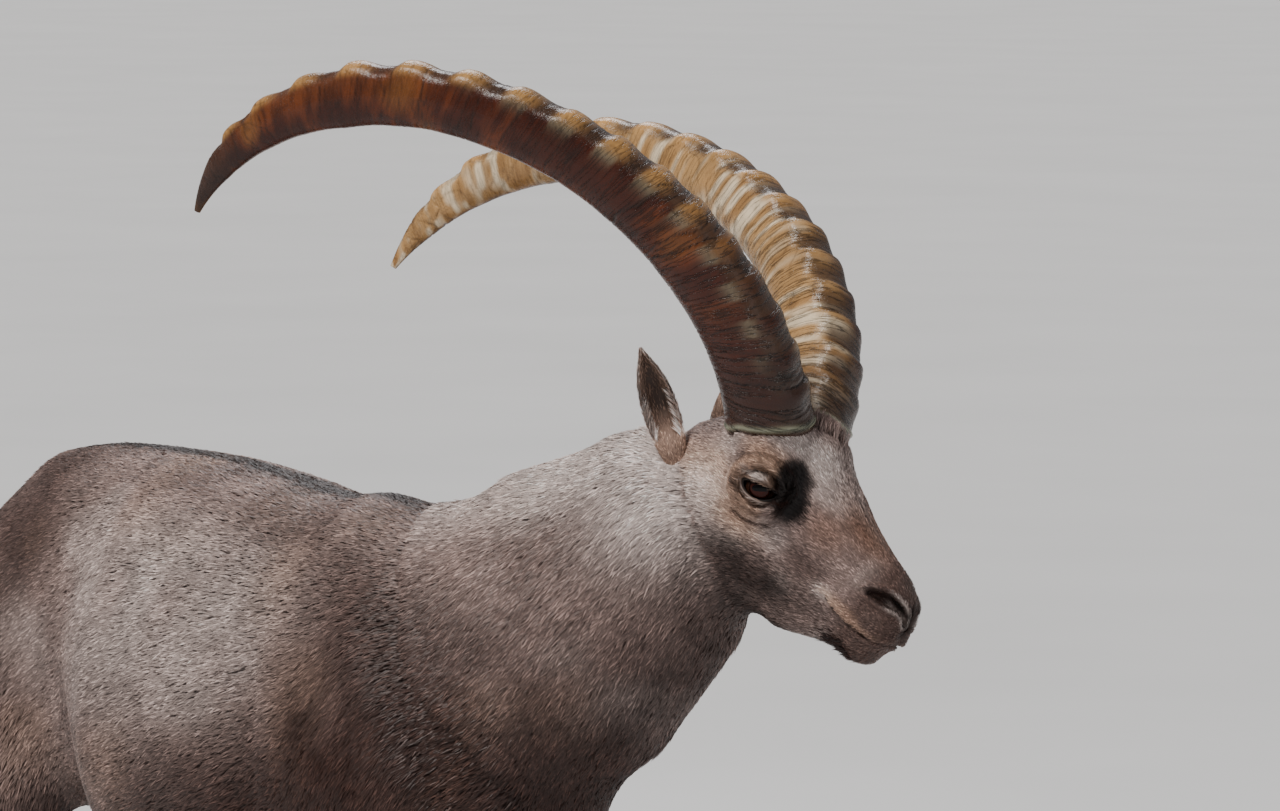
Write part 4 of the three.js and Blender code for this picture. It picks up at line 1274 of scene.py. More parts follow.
def body_markings(points, part, palette):
    """Colour of trunk, neck, tail and legs: grey-brown above, dark below with painted shade, painted
    highlights on flank, nape and cheek, and a black back line.
    """
    x, y, z = points.T
    side = np.abs(y)
    wide = noise(points, 140, 1)
    patchy = noise(points, 46, 2)
    fine = noise(points, 15, 3)
    coat = Layers(palette, "back", x.shape)
    coat.add("pale", 0.22 * smooth(0.0, 0.8, wide + 0.6 * patchy) * smooth(640, 740, z))
    coat.add("dark", 0.38 * smooth(0.0, 0.9, -wide + 0.6 * patchy))
    coat.add("ochre", smooth(0.1, 0.9, noise(points, 90, 4)) * 0.3, 0.6)
    # Pale oval on the flank: painted sheen of light on the hair
    flank = np.exp(-oval(x, -250, 190, z, 760, 110) ** 2) * smooth(60, 110, side)
    coat.add("pale", flank * (0.3 + 0.12 * patchy))
    # The breast, lower shoulder, belly line and legs are darkest: partly their own dark brown, partly painted
    # shade from below
    trunk = (part == TORSO) | (part == NECK)
    edge = z + 36 * patchy + 26 * wide
    half_dark = np.interp(x, *DARK_LINE)
    low = smooth(half_dark + 95, half_dark - 95, edge)
    coat.add("dark", low * 0.9)
    # Darker shoulder and haunch: partly darker coat, partly painted shade
    shoulder = np.exp(-oval(x, 85, 95, z, 790, 80)) * smooth(40, 90, side)
    coat.add("dark", shoulder * 0.66)
    haunch = smooth(-430, -600, x + 30 * wide) * smooth(600, 700, z)
    coat.add("dark", haunch * 0.55)
    belly = trunk * smooth(120, 70, side) * smooth(520, 478, z) * smooth(30, -60, x)
    coat.add("ochre", belly * 0.7, 0.8)
    # Darker throat and front of the neck: partly darker coat, partly painted shade, darkest as painted shadow
    # under the jaw
    forward = x * 0.86 + (860 - z) * 0.5 - 150
    throat = (part == NECK) * smooth(80, 190, forward)
    coat.add("dark", throat * 0.5)
    coat.add("dark", (part == NECK) * smooth(150, 220, x) * 0.24)
    shade_under_jaw = (part == NECK) * smooth(145, 195, forward)
    coat.add("dark", shade_under_jaw * 0.9, 0.5)
    # Pale nape: partly paler hair, partly painted highlight
    nape = (part == NECK) * smooth(-40, 40, z - 0.24 * x - 860)
    coat.add("pale", nape * (0.6 + 0.25 * patchy))
    # Pale cheek behind the eye: painted highlight
    cheek = (part == NECK) * np.exp(-oval(x, 305, 50, z, 905, 45))
    coat.add("pale", cheek * 0.6)
    stripe = smooth(24, 10, side + 4 * fine) * smooth(830, 870, z) * smooth(60, -20, x)
    coat.add("black", stripe * 0.85)
    limb = (part == FORE) | (part == HIND)
    coat.add("dark", limb * smooth(640, 470, edge) * 0.85)
    coat.add("black", limb * hill(z, 262, 70) * 0.35)
    behind = limb * smooth(260, 150, z) * np.where(x > -300, smooth(40, 20, x - 20), smooth(-735, -755, x))
    coat.add("ochre", behind * 0.5, 0.8)
    rump = smooth(-735, -775, x) * smooth(120, 40, side) * smooth(560, 640, z) * (part != TAIL)
    coat.add("pale", rump * 0.45)
    coat.add("black", (part == TAIL) * smooth(-790, -850, x) * 0.8)
    mottled = 0.2 * noise(points, 24, 16) + 0.1 * fine
    return coat.colours * (1 + mottled[:, None])


# Patches of the head in the order they are laid: tone, brightness, strength, place and reach
HEAD_PATCHES = [
    ("ochre", 0.85, 0.8, (-14, 66, 24), (28, 24, 14)), ("ochre", 1, 0.8, (-8, 60, -38), (32, 24, 18)),
    ("ochre", 1, 0.8, (-58, 60, -28), (30, 26, 26)), ("ochre", 1, 0.6, (-90, 52, -40), (22, 20, 22)),
    # The first pale patch on the next line, low on the cheek behind the eye, is a painted highlight
    ("pale", 1, 0.6, (-56, 60, -46), (28, 24, 26)), ("pale", 0.85, 0.62, (14, 24, 48), (26, 24, 14)),
    ("pale", 0.85, 0.5, (-8, 54, 50), (26, 24, 14)), ("rust", 1, 0.7, (92, 14, 26), (40, 24, 22)),
    ("rust", 1, 0.45, (66, 40, 4), (24, 14, 18)),
]


def head_markings(skull, palette):
    """Colour of the head: ochre round the eye and cheek, a black patch before the eye that is partly painted
    shadow of the brow, painted shadow on the jaw, painted highlights on lid, cheek and mouth, a rusty bridge.
    """
    folded = mirrored(skull)
    u, v, w = folded.T
    patchy = noise(skull, 30, 5)
    fine = noise(skull, 9, 6)
    coat = Layers(palette, "back", u.shape, 1.12)
    coat.add("pale", 0.4 * smooth(-0.2, 0.8, patchy), 0.8)

    def patch(centre, reach, flat=1.4):
        return np.exp(-(((folded - centre) / reach) ** 2).sum(1) ** flat)

    for tone, dim, strength, centre, reach in HEAD_PATCHES:
        coat.add(tone, strength * patch(centre, reach), dim)
    # Painted shadow on the jaw and under the head
    coat.add("dark", (0.9 + 0.25 * patchy) * patch((36, 40, -78), (78, 28, 29), 1.5), 0.6)
    coat.add("dark", 0.9 * smooth(-84, -104, w) * smooth(130, 80, u), 0.6)
    coat.add("dark", 0.6 * patch((70, 40, -30), (26, 14, 16)))
    # Black patch before the eye: partly painted shadow of the brow
    coat.add("black", 0.98 * patch((16, 56, 24), (20, 28, 15.5), 4), 0.6)
    coat.add("black", 0.98 * patch((30, 52, 4), (14, 26, 18), 4), 0.6)
    coat.add("muzzle", 0.85 * smooth(108, 138, u + 6 * patchy))
    # Painted highlights: a pale glint at the corner of the mouth and an ochre one along the upper lip
    coat.add("pale", 0.6 * patch((99, 34, -39), (10, 12, 6)))
    coat.add("ochre", 0.5 * patch((118, 33, -38), (20, 12, 6)))
    away, place = near_path(folded, MOUTH)
    lip = above_mouth(folded) * 0.4 * hill(away, 5.2, 2.6) * (1 - smooth(0.5, 0.9, place))
    coat.add("ochre", lip)
    coat.add("black", 0.95 * hill(away, 0, 1.7))
    away, place = near_path(folded, NOSTRIL)
    wide = nostril_width(place)
    coat.add("black", 0.6 * (1 - smooth(2.0, 4.5, away - wide)), 1.8)
    coat.add("pale", 0.45 * hill(away - wide, 3.2, 1.5) * smooth(0.25, 0.6, place))
    coat.add("black", 0.98 * (1 - smooth(-0.6, 0.8, away - wide)), 0.6)
    nose_pad = smooth(13, 7, v) * smooth(158, 166, u) * smooth(-34, -24, w)
    coat.add("black", nose_pad * 0.7, 1.6)
    x, y, z = eye_place(folded, 1).T
    r = np.hypot(x / 1.2, y)
    shown = z > -10
    # Painted shade in the creases of the folds above and below the eye
    crease = (hill(r, 34.5, 2.4) + 0.9 * hill(r, 15.0, 1.4)) * smooth(3, -7, y) * (1 - smooth(22, 38, x))
    crease = crease + (0.9 * hill(r, 14.5, 1.5) + 0.5 * hill(r, 28.5, 1.8)) * smooth(-3, 7, y)
    bag = shown * (1 - smooth(24, 33, r)) * smooth(20, 8, x)
    coat.add("ochre", bag * 0.85, 0.5)
    # More of the black patch before the eye, partly painted shadow of the brow
    front = np.exp(-oval(x, 24, 13, y, 12, 25) ** 4) * shown
    coat.add("black", front * 0.97, 0.6)
    coat.add("dark", np.clip(crease, 0, 1) * shown * 0.85)
    # Painted highlight on the swollen upper lid
    lid = shown * np.exp(-oval(x, -7, 12, y, 10.5, 4.5) ** 2)
    coat.add("pale", lid * 0.8, 0.8)
    slit_edge = hill(slit_reach(x, y), 1.18, 0.05) * smooth(0, -3, y) * smooth(14, 8, x)
    # Painted shade on the lower lid below its pale rim
    lid_ledge_shade = hill(slit_reach(x, y), 1.5, 0.14) * smooth(0, -4, y)
    coat.add("dark", shown * lid_ledge_shade * 0.8)
    coat.add("pale", shown * slit_edge * 0.6, 0.85)
    coat.add("black", shown * (1 - smooth(1.05, 1.12, slit_reach(x, y))) * 0.97, 0.5)
    tear = hill(x, 21, 6) * hill(y, 1, 4) * shown
    coat.add("black", tear * 0.85)
    speckle = 0.14 * fine + 0.2 * noise(skull, 4.0, 8)
    return coat.colours * (1 + speckle[:, None])


def markings(points, part, head, palette):
    """Colour at points of the skin or coat, from the head's and the body's markings."""
    body = body_markings(points, part, palette)
    return blend_colours(body, head_markings(body_to_skull(points), palette), smooth(0.25, 0.85, head))


def atlas(points, part):
    """Place of each point on an unwrap: length and angle round its own tube, in one of 8 cells."""
    skull = body_to_skull(points)
    x, y, z = points.T
    left = y > 0
    cell = np.select([part == TORSO, part == NECK, part == HEAD, part == TAIL,
                      (part == FORE) & left, part == FORE, (part == HIND) & left], range(7), 7)
    ankle = np.where(x > -300, 40.0, -740.0)
    down = (850 - z) / 850
    along = np.select([cell == 0, cell == 1, cell == 2, cell == 3],
                      [(220 - x) / 1020, (x + 60) / 420, (skull[:, 0] + 130) / 310, (870 - z) / 200], down)
    turned = np.select([cell == 0, cell == 1, cell == 2, cell == 3],
                       [np.arctan2(y, z - 690), np.arctan2(y - 60, z - 760 + 0.4 * (x - 130)),
                        np.arctan2(skull[:, 1], skull[:, 2] + 40), np.arctan2(y, x + 820)],
                       np.arctan2(np.abs(y) - 90, x - ankle))
    column, row = cell % 4, cell // 4
    u = (column + 0.02 + 0.96 * (turned / (2 * np.pi) + 0.5)) / 4
    v = (row + 0.02 + 0.96 * np.clip(along, 0, 1)) / 2
    return np.stack([u, v], 1)


# Coat

def draw(ground, count, weight, seed):
    """Places drawn by area and weight on a ground's triangles, from a fixed seed.

    Gives points, normals, lie, depth, part and head there, and the random generator for what follows.
    """
    rng = np.random.default_rng(seed)
    a, b, c = (ground.points[ground.triangles[:, i]] for i in range(3))
    heap = np.cumsum(np.linalg.norm(np.cross(b - a, c - a), axis=1) / 2 * weight)
    pick = np.searchsorted(heap, rng.random(count) * heap[-1])
    one, two = rng.random(count), rng.random(count)
    fold = one + two > 1
    one, two = np.where(fold, 1 - one, one), np.where(fold, 1 - two, two)
    shares = np.stack([1 - one - two, one, two], 1)
    corners = ground.triangles[pick]

    def at(values):
        return (values[corners] * (shares[..., None] if values.ndim > 1 else shares)).sum(1)

    normals = unit(at(ground.normals))
    return (at(ground.points), normals, tangent(at(ground.lie), normals), at(ground.depth),
            ground.part[corners[:, 0]], at(ground.head), rng)


# Share of tufts with paler tips and how much paler they are: partly frosted hair, partly painted glints
FROST_AND_GLINT_SHARE = 0.2
FROST_AND_GLINT_LIFT = 1.3


def blades(name, roots, normals, lie, length, width, lift, colours, uv, rng, contrast=0.13, sink=0.6):
    """Tufts of hair as bent flat blades: two points at the root, two half way and one at the tip.

    A tuft leaves the skin, rises to its lift by the middle and lies over to the tip. It is rolled a little
    about its own length, its root is darker than the coat and its tip lighter, and each differs in tone. A
    share of them has paler tips, partly frosted hair and partly painted glints.
    """
    count = len(roots)
    across = np.cross(normals, lie)
    heading = unit(lie + across * rng.normal(0, 0.15, count)[:, None])
    roll = rng.normal(0, 0.28, count)[:, None]
    across = np.cross(normals, heading) * np.cos(roll) + normals * np.sin(roll)
    length, width, lift = (np.asarray(v)[:, None] for v in (length, width, lift))
    bend = rng.normal(0, 0.06, count)[:, None] * length
    middle = roots + heading * length * 0.48 + normals * lift * 0.8 + across * bend * 0.4
    tip = roots + heading * length + normals * lift * rng.uniform(0.6, 1.1, count)[:, None] + across * bend
    low = roots - normals * sink
    points = np.stack([low - across * width * 0.35, low + across * width * 0.35,
                       middle - across * width * 0.5, middle + across * width * 0.5, tip], 1).reshape(-1, 3)
    first = (np.arange(count) * 5)[:, None]
    piece = make_mesh(name, points, [first + np.array([[0, 1, 3, 2]]), first + np.array([[2, 3, 4]])])
    tone = np.exp(contrast * rng.normal(0, 1, count).clip(-2, 2.2))
    shade = np.array([0.78, 0.78, 0.98, 0.98, 1.25])
    frost_and_glint = 1 + (rng.random(count) < FROST_AND_GLINT_SHARE)[:, None] * FROST_AND_GLINT_LIFT * np.array([0, 0, 0.5, 0.5, 1.0])
    tint = colours[:, None, :] * tone[:, None, None] * shade[None, :, None] * frost_and_glint[..., None]
    rgba = np.concatenate([np.clip(tint, 0, 1), np.ones((count, 5, 1))], 2).reshape(-1, 4)
    point_attribute(piece.data, "coat_colour", rgba)
    spot = 0.0015 * np.array([(-1, -1), (1, -1), (-1, 0), (1, 0), (0, 1)])
    place = (uv[:, None] + spot[None]).reshape(-1, 2)
    corners = read(piece.data.loops, "vertex_index", kind=np.int32)
    layer = piece.data.uv_layers.new(name="OFBake")
    layer.data.foreach_set("uv", place[corners].astype(np.float32).ravel())
    return piece


# Settings that a user may change

class IbexSizes(bpy.types.PropertyGroup):
    """Sizes of the coat and the mesh."""

    voxel: FloatProperty(name="Skin detail", description="Grid size that joins the parts of the skin",
                         default=0.004, min=0.003, max=0.01, unit="LENGTH")
    body_hair: FloatProperty(name="Body hair", description="Length of a tuft on the body",
                             default=0.0155, min=0.005, max=0.06, unit="LENGTH")
    neck_hair: FloatProperty(name="Neck hair", description="Length of a tuft on the neck",
                             default=0.0165, min=0.005, max=0.06, unit="LENGTH")
    leg_hair: FloatProperty(name="Leg hair", description="Length of a tuft on the legs",
                            default=0.012, min=0.004, max=0.04, unit="LENGTH")
    face_hair: FloatProperty(name="Face hair", description="Length of a tuft on the face",
                             default=0.006, min=0.002, max=0.02, unit="LENGTH")
    tuft_width: FloatProperty(name="Tuft width", description="Width of a tuft on the body",
                              default=0.0019, min=0.001, max=0.006, unit="LENGTH")
    tufts: IntProperty(name="Tufts", description="Tufts in each piece of the coat",
                       default=62000, min=500, max=66000)


class IbexColours(bpy.types.PropertyGroup):
    """Colours of the coat."""

    back: FloatVectorProperty(name="Back", description="Grey-brown of the back and flank", size=3,
                              subtype="COLOR", default=tuple(colour("786660")), min=0, max=1)
    dark: FloatVectorProperty(name="Dark", description="Dark brown of the breast and legs", size=3,
                              subtype="COLOR", default=tuple(colour("28150f")), min=0, max=1)
    black: FloatVectorProperty(name="Black", description="Brown-black of the back line and face", size=3,
                               subtype="COLOR", default=tuple(colour("150d0b")), min=0, max=1)
    ochre: FloatVectorProperty(name="Ochre", description="Ochre round the eye and on the cheek", size=3,
                               subtype="COLOR", default=tuple(colour("b2907a")), min=0, max=1)
    pale: FloatVectorProperty(name="Pale", description="Pale hair of the lips, nape and ear rim", size=3,
                              subtype="COLOR", default=tuple(colour("cfc1ba")), min=0, max=1)
    rust: FloatVectorProperty(name="Rust", description="Rusty brown of the bridge of the nose", size=3,
                              subtype="COLOR", default=tuple(colour("6e4c39")), min=0, max=1)
    muzzle: FloatVectorProperty(name="Muzzle", description="Grey-brown of the muzzle", size=3,
                                subtype="COLOR", default=tuple(colour("4c3831")), min=0, max=1)


def palette():
    colours = bpy.context.scene.ibex_colours
    names = ("back", "dark", "black", "ochre", "pale", "rust", "muzzle")
    return {name: np.array(getattr(colours, name)) for name in names}


# Materials

class Shader:
    """A material with helpers that add and link its nodes."""

    def __init__(self, name, **sockets):
        self.material = bpy.data.materials.new(name)
        self.material.use_nodes = True
        self.nodes = self.material.node_tree.nodes
        self.links = self.material.node_tree.links
        self.surface = self.nodes["Principled BSDF"]
        for socket, value in sockets.items():
            self.surface.inputs[socket.replace("_", " ")].default_value = value

    def add(self, kind, values=None, **settings):
        node = self.nodes.new(kind)
        for key, value in settings.items():
            setattr(node, key, value)
        for key, value in (values or {}).items():
            node.inputs[key].default_value = value
        return node

    def link(self, source, target):
        self.links.new(source, target)

    def feed(self, source, socket):
        """Links a value to a socket of the surface."""
        self.link(source, self.surface.inputs[socket])

    def object_place(self, scale=(1, 1, 1)):
        """Object coordinates, stretched by a scale."""
        coordinates = self.add("ShaderNodeTexCoord")
        mapping = self.add("ShaderNodeMapping", {"Scale": scale})
        self.link(coordinates.outputs["Object"], mapping.inputs["Vector"])
        return mapping.outputs["Vector"]

    def noise(self, place, scale, detail=3.0, roughness=0.5):
        node = self.add("ShaderNodeTexNoise", {"Scale": scale, "Detail": detail, "Roughness": roughness})
        self.link(place, node.inputs["Vector"])
        return node.outputs["Fac"]

    def between(self, value, low, high, new_low, new_high):
        """Value carried from one range to another, held at its ends."""
        node = self.add("ShaderNodeMapRange", {"From Min": low, "From Max": high, "To Min": new_low,
                                               "To Max": new_high})
        self.link(value, node.inputs["Value"])
        return node.outputs["Result"]

    def math(self, operation, value, other=0.0):
        """Result of a Math node on a value and a number or a second value."""
        node = self.add("ShaderNodeMath", operation=operation)
        self.link(value, node.inputs[0])
        if isinstance(other, float):
            node.inputs[1].default_value = other
        else:
            self.link(other, node.inputs[1])
        return node.outputs[0]

    def tinted(self, colour_socket, factor):
        """Colour made darker or lighter by a factor."""
        node = self.add("ShaderNodeVectorMath", operation="SCALE")
        self.link(colour_socket, node.inputs[0])
        self.link(factor, node.inputs["Scale"])
        return node.outputs["Vector"]

    def bump(self, height, distance, strength=1.0):
        node = self.add("ShaderNodeBump", {"Strength": strength, "Distance": distance})
        self.link(height, node.inputs["Height"])
        self.link(node.outputs["Normal"], self.surface.inputs["Normal"])

    def painted(self, attribute):
        node = self.add("ShaderNodeAttribute", attribute_name=attribute)
        return node.outputs["Color"]


def coat_material():
    """Glossy short hair: the markings, varied from hair to hair, with a fine grain."""
    shader = Shader("coat_finish", Roughness=0.44, Specular_IOR_Level=0.24)
    place = shader.object_place()
    fine = shader.between(shader.noise(place, 900, 2), 0.25, 0.75, 0.78, 1.22)
    broad = shader.between(shader.noise(place, 34, 3), 0.3, 0.7, 0.86, 1.14)
    tinted = shader.tinted(shader.tinted(shader.painted("coat_colour"), fine), broad)
    shader.feed(tinted, "Base Color")
    shader.bump(shader.noise(place, 1400, 2), 0.0004, 0.5)
    return shader.material


def skin_material():
    """Skin under the coat: the same markings, with the grain of short flat hair as bump."""
    shader = Shader("skin_finish", Roughness=0.62, Specular_IOR_Level=0.25)
    place = shader.object_place()
    grain = shader.noise(place, 700, 4, 0.65)
    tinted = shader.tinted(shader.painted("coat_colour"), shader.between(grain, 0.25, 0.75, 0.7, 1.25))
    shader.feed(tinted, "Base Color")
    shader.feed(shader.between(shader.noise(place, 60, 2), 0.3, 0.7, 0.55, 0.72), "Roughness")
    shader.bump(grain, 0.0008, 0.6)
    return shader.material


def horn_material():
    """Polished horn: rings and knobs from the mesh, with thin dark cracks across the growth and fine pits."""
    shader = Shader("horn_finish", Roughness=0.26, Specular_IOR_Level=0.3)
    growth = shader.add("ShaderNodeAttribute", attribute_name="growth").outputs["Vector"]
    streaks = shader.noise(growth, 1.0, 4, 0.6)
    # A crack runs where the noise passes through its middle value
    offset = shader.math("SUBTRACT", streaks, 0.5)
    crack = shader.between(shader.math("ABSOLUTE", offset), 0.004, 0.03, 0.0, 1.0)
    along = shader.add("ShaderNodeSeparateXYZ")
    shader.link(growth, along.inputs["Vector"])
    least = shader.between(along.outputs["X"], 20, 80, 0.38, 0.8)
    line = shader.math("MAXIMUM", crack, least)
    place = shader.object_place()
    pits = shader.noise(place, 420, 4, 0.6)
    clouds = shader.between(shader.noise(place, 26, 4, 0.6), 0.3, 0.7, 0.78, 1.25)
    tinted = shader.tinted(shader.tinted(shader.painted("coat_colour"), line), clouds)
    shader.feed(tinted, "Base Color")
    shader.feed(shader.between(pits, 0.3, 0.7, 0.16, 0.36), "Roughness")
    relief = shader.math("ADD", line, shader.between(pits, 0.2, 0.8, 0.0, 0.4))
    shader.bump(relief, 0.0009, 0.7)
    return shader.material


def eye_material():
    """Wet eyeball: the iris and pupil of the mesh under a clear gloss."""
    shader = Shader("eye_finish", Roughness=0.2, Specular_IOR_Level=0.12, Coat_Weight=0.1,
                    Coat_Roughness=0.03)
    place = shader.object_place()
    fibres = shader.between(shader.noise(place, 1500, 3), 0.3, 0.7, 0.8, 1.2)
    shader.feed(shader.tinted(shader.painted("coat_colour"), fibres), "Base Color")
    return shader.material


def hoof_material():
    """Worn hoof horn: grey-black with growth lines, scuffs near the ground and a dull shine."""
    shader = Shader("hoof_finish", Roughness=0.5, Specular_IOR_Level=0.45)
    place = shader.object_place()
    lines = shader.noise(shader.object_place((60, 60, 700)), 1.0, 3)
    upright = shader.noise(shader.object_place((900, 900, 70)), 1.0, 3)
    tinted = shader.tinted(shader.painted("coat_colour"), shader.between(lines, 0.3, 0.7, 0.72, 1.3))
    shader.feed(shader.tinted(tinted, shader.between(upright, 0.3, 0.7, 0.8, 1.25)), "Base Color")
    shader.feed(shader.between(shader.noise(place, 160, 4), 0.3, 0.7, 0.38, 0.66), "Roughness")
    shader.bump(upright, 0.0006, 0.6)
    return shader.material


MAKERS = {"coat_finish": coat_material, "skin_finish": skin_material, "horn_finish": horn_material,
          "eye_finish": eye_material, "hoof_finish": hoof_material}


def finish_piece(piece, material, slot, *nodes):
    """Gives a piece its material and its body, and hides the CAD nodes it stands for. The slot is not used.
    """
    ready = bpy.data.materials.get(material) or MAKERS[material]()
    piece.data.materials.append(ready)
    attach(piece, "root")
    if nodes:
        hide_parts(*nodes)
    return piece


def paint(piece, colours):
    rgba = np.concatenate([np.clip(colours, 0, 1), np.ones((len(colours), 1))], 1)
    point_attribute(piece.data, "coat_colour", rgba)


SKIN_FACES = 175000
FLESH_NODES = ["torso", "neck", "tail", "head", "fore_left_leg", "fore_right_leg", "hind_left_leg",
               "hind_right_leg"]


class IBEX_OT_skin(bpy.types.Operator):
    """Makes the skin: one surface round trunk, neck, head, tail and legs, with the lids of both eyes"""

    bl_idname = "ibex.skin"
    bl_label = "Skin"

    def execute(self, context):
        whole = hide(context.scene.ibex_sizes.voxel)
        piece = whole.piece.copy()
        piece.data = whole.piece.data.copy()
        piece.name = piece.data.name = "skin"
        context.scene.collection.objects.link(piece)
        whole.piece.hide_render = True
        thin_out(piece, 1 - smooth(0.3, 0.6, whole.head), SKIN_FACES)
        join(piece, [lid_piece(grid, sign) for sign, grid in whole.lids.items()])
        points, part = read_points(piece.data), read_parts(piece.data)
        head = read_attribute(piece.data, "head")
        for name in ("lie", "depth", "head", "part"):
            piece.data.attributes.remove(piece.data.attributes[name])
        part[part == HORN_BASE_SKIN] = HEAD
        paint(piece, markings(points, part, head, palette()))
        piece.data.polygons.foreach_set("use_smooth", np.ones(len(piece.data.polygons), bool))
        finish_piece(piece, "skin_finish", "body_coat", *FLESH_NODES)
        bpy.data.objects.remove(whole.piece)
        return {"FINISHED"}


def thin_out(piece, weight, target):
    """Takes faces out where the weight is over a half until about the target count of triangles is left."""
    group = piece.vertex_groups.new(name="thin")
    group.add(np.flatnonzero(weight > 0.5).tolist(), 1.0, "REPLACE")
    piece.data.calc_loop_triangles()
    modifier = piece.modifiers.new("thin", "DECIMATE")
    modifier.ratio = target / len(piece.data.loop_triangles)
    modifier.vertex_group = "thin"
    work_on(piece)
    bpy.ops.object.modifier_apply(modifier=modifier.name)
    piece.vertex_groups.clear()


def join(piece, others):
    """Adds other pieces' meshes to a piece."""
    work_on(piece)
    for other in others:
        other.select_set(True)
    bpy.ops.object.join()


def lid_piece(grid, sign):
    """Mesh of one eye's lids, faced outwards, with the attributes that the skin has."""
    quads, points = ring_quads(*grid.shape[:2]), grid.reshape(-1, 3)
    a, b, c = (points[quads[:, i]] for i in range(3))
    if (np.cross(b - a, c - a) @ (SKULL @ eye_axes(sign)[2])).sum() < 0:
        quads = quads[:, ::-1]
    piece = make_mesh("lids", points, [quads])
    ones = np.ones(len(points))
    rows = {"part": ones * HEAD, "head": ones, "lie": np.zeros(points.shape), "depth": ones}
    for name, values in rows.items():
        point_attribute(piece.data, name, values)
    return piece


class IBEX_OT_eyes(bpy.types.Operator):
    """Makes both eyeballs, with iris and pupil"""

    bl_idname = "ibex.eyes"
    bl_label = "Eyes"

    def execute(self, context):
        for sign, side in SIDES:
            grid, a, b = eye_grid(sign)
            piece, _ = tube_piece("eyeball_" + side, grid)
            paint(piece, np.vstack([eye_colours(a, b), colour(PUPIL), colour(EYE_WHITE)]))
            finish_piece(piece, "eye_finish", "eye", "eye_" + side)
        return {"FINISHED"}


class IBEX_OT_ears(bpy.types.Operator):
    """Makes both ears as cupped shells"""

    bl_idname = "ibex.ears"
    bl_label = "Ears"

    def execute(self, context):
        tones = palette()
        for sign, side in SIDES:
            grid, t, angle, inside = ear_grid(sign)
            piece, _ = tube_piece("ear_skin_" + side, grid)
            paint(piece, ear_colours(t, angle, inside, tones))
            finish_piece(piece, "skin_finish", "face_coat", "ear_" + side)
        return {"FINISHED"}


def ear_colours(t, angle, inside, tones):
    """Ear colours: ochre-brown back, dark hollow, pale rim."""
    rim = hill(np.abs(np.sin(angle)), 0, 0.22)
    ear = Layers(tones, "back", inside.shape)
    ear.add("ochre", 0.5)
    hollow = inside * (0.3 + 0.6 * smooth(0.25, 0.5, t)[:, None])
    ear.add("black", hollow, 1.6)
    ear.add("pale", rim * smooth(0.1, 0.3, t)[:, None] * 0.95, 1.2)
    ear.add("dark", smooth(0.86, 1.04, t)[:, None] * 0.5)
    return with_hubs(ear.colours)


class IBEX_OT_horns(bpy.types.Operator):
    """Makes both horns, with knobs, growth rings and the rim of skin at the base"""

    bl_idname = "ibex.horns"
    bl_label = "Horns"

    def execute(self, context):
        for sign, side in SIDES:
            grid, s, angle, marks = horn_grid(sign)
            piece, _ = tube_piece("horn_sheath_" + side, grid)
            paint(piece, with_hubs(horn_colours(grid, s, angle, marks, sign)))
            # Cracks run across the growth, so their place is drawn out round the horn
            beside = np.stack([np.cos(angle) * 0.42, np.sin(angle) * 0.42 + sign * 7], -1)
            beside = np.broadcast_to(beside, grid.shape[:2] + (2,))
            growth = np.concatenate([marks["place"][..., None] * 130, beside], -1)
            point_attribute(piece.data, "growth", with_hubs(growth))
            finish_piece(piece, "horn_finish", "horn", "horn_" + side)
        return {"FINISHED"}


class IBEX_OT_hooves(bpy.types.Operator):
    """Makes the claws and dewclaws of all four feet"""

    bl_idname = "ibex.hooves"
    bl_label = "Hooves"

    def execute(self, context):
        for name, step in STANCE.items():
            sign = 1 if name.endswith("left") else -1
            x, y = FEET[name[:4]]
            foot = (x + float(step_at(np.array(0.0), step)), sign * y)
            for place, side in (("outer", sign), ("inner", -sign)):
                for kind, node, maker in (("hoof", "claw", claw_grid), ("spur", "dewclaw", dewclaw_grid)):
                    piece, points = tube_piece(f"{name}_{kind}_{place}", maker(foot, side))
                    paint(piece, hoof_colours(points))
                    finish_piece(piece, "hoof_finish", "hoof", f"{name}_{node}_{place}")
        return {"FINISHED"}


def hoof_colours(points):
    """Grey-black horn, browner and paler where it is worn near the ground."""
    worn = smooth(22, 2, points[:, 2] + 8 * noise(points, 12, 8))
    horn = blend_colours(colour("2d2622"), colour("6f6152"), worn * 0.6)
    return horn * (1 + 0.2 * noise(points, 5, 9))[:, None]


def coat_ground(whole):
    """The skin's triangles with the sheets of both lids added, as ground for the coat."""
    points, normals, lie = [whole.points], [whole.normals], [whole.lie]
    triangles, offset = [whole.triangles], len(whole.points)
    for sign, grid in whole.lids.items():
        p = grid.reshape(-1, 3)
        along = np.gradient(grid, axis=0).reshape(-1, 3)
        ahead = (np.roll(grid, -1, 1) - np.roll(grid, 1, 1)).reshape(-1, 3)
        n = unit(np.cross(along, ahead))
        outward = SKULL @ eye_axes(sign)[2]
        n = n * np.sign(n @ outward + 1e-9)[:, None]
        points.append(p)
        normals.append(n)
        lie.append(tangent(np.broadcast_to(SKULL @ HEAD_LIE, p.shape), n))
        triangles.append(halves(ring_quads(*grid.shape[:2])) + offset)
        offset += len(p)
    extra = offset - len(whole.points)
    return types.SimpleNamespace(
        points=np.vstack(points), normals=np.vstack(normals), lie=np.vstack(lie),
        triangles=np.vstack(triangles), depth=np.concatenate([whole.depth, np.full(extra, LID_COAT)]),
        part=np.concatenate([whole.part, np.full(extra, HEAD)]),
        head=np.concatenate([whole.head, np.ones(extra)]))


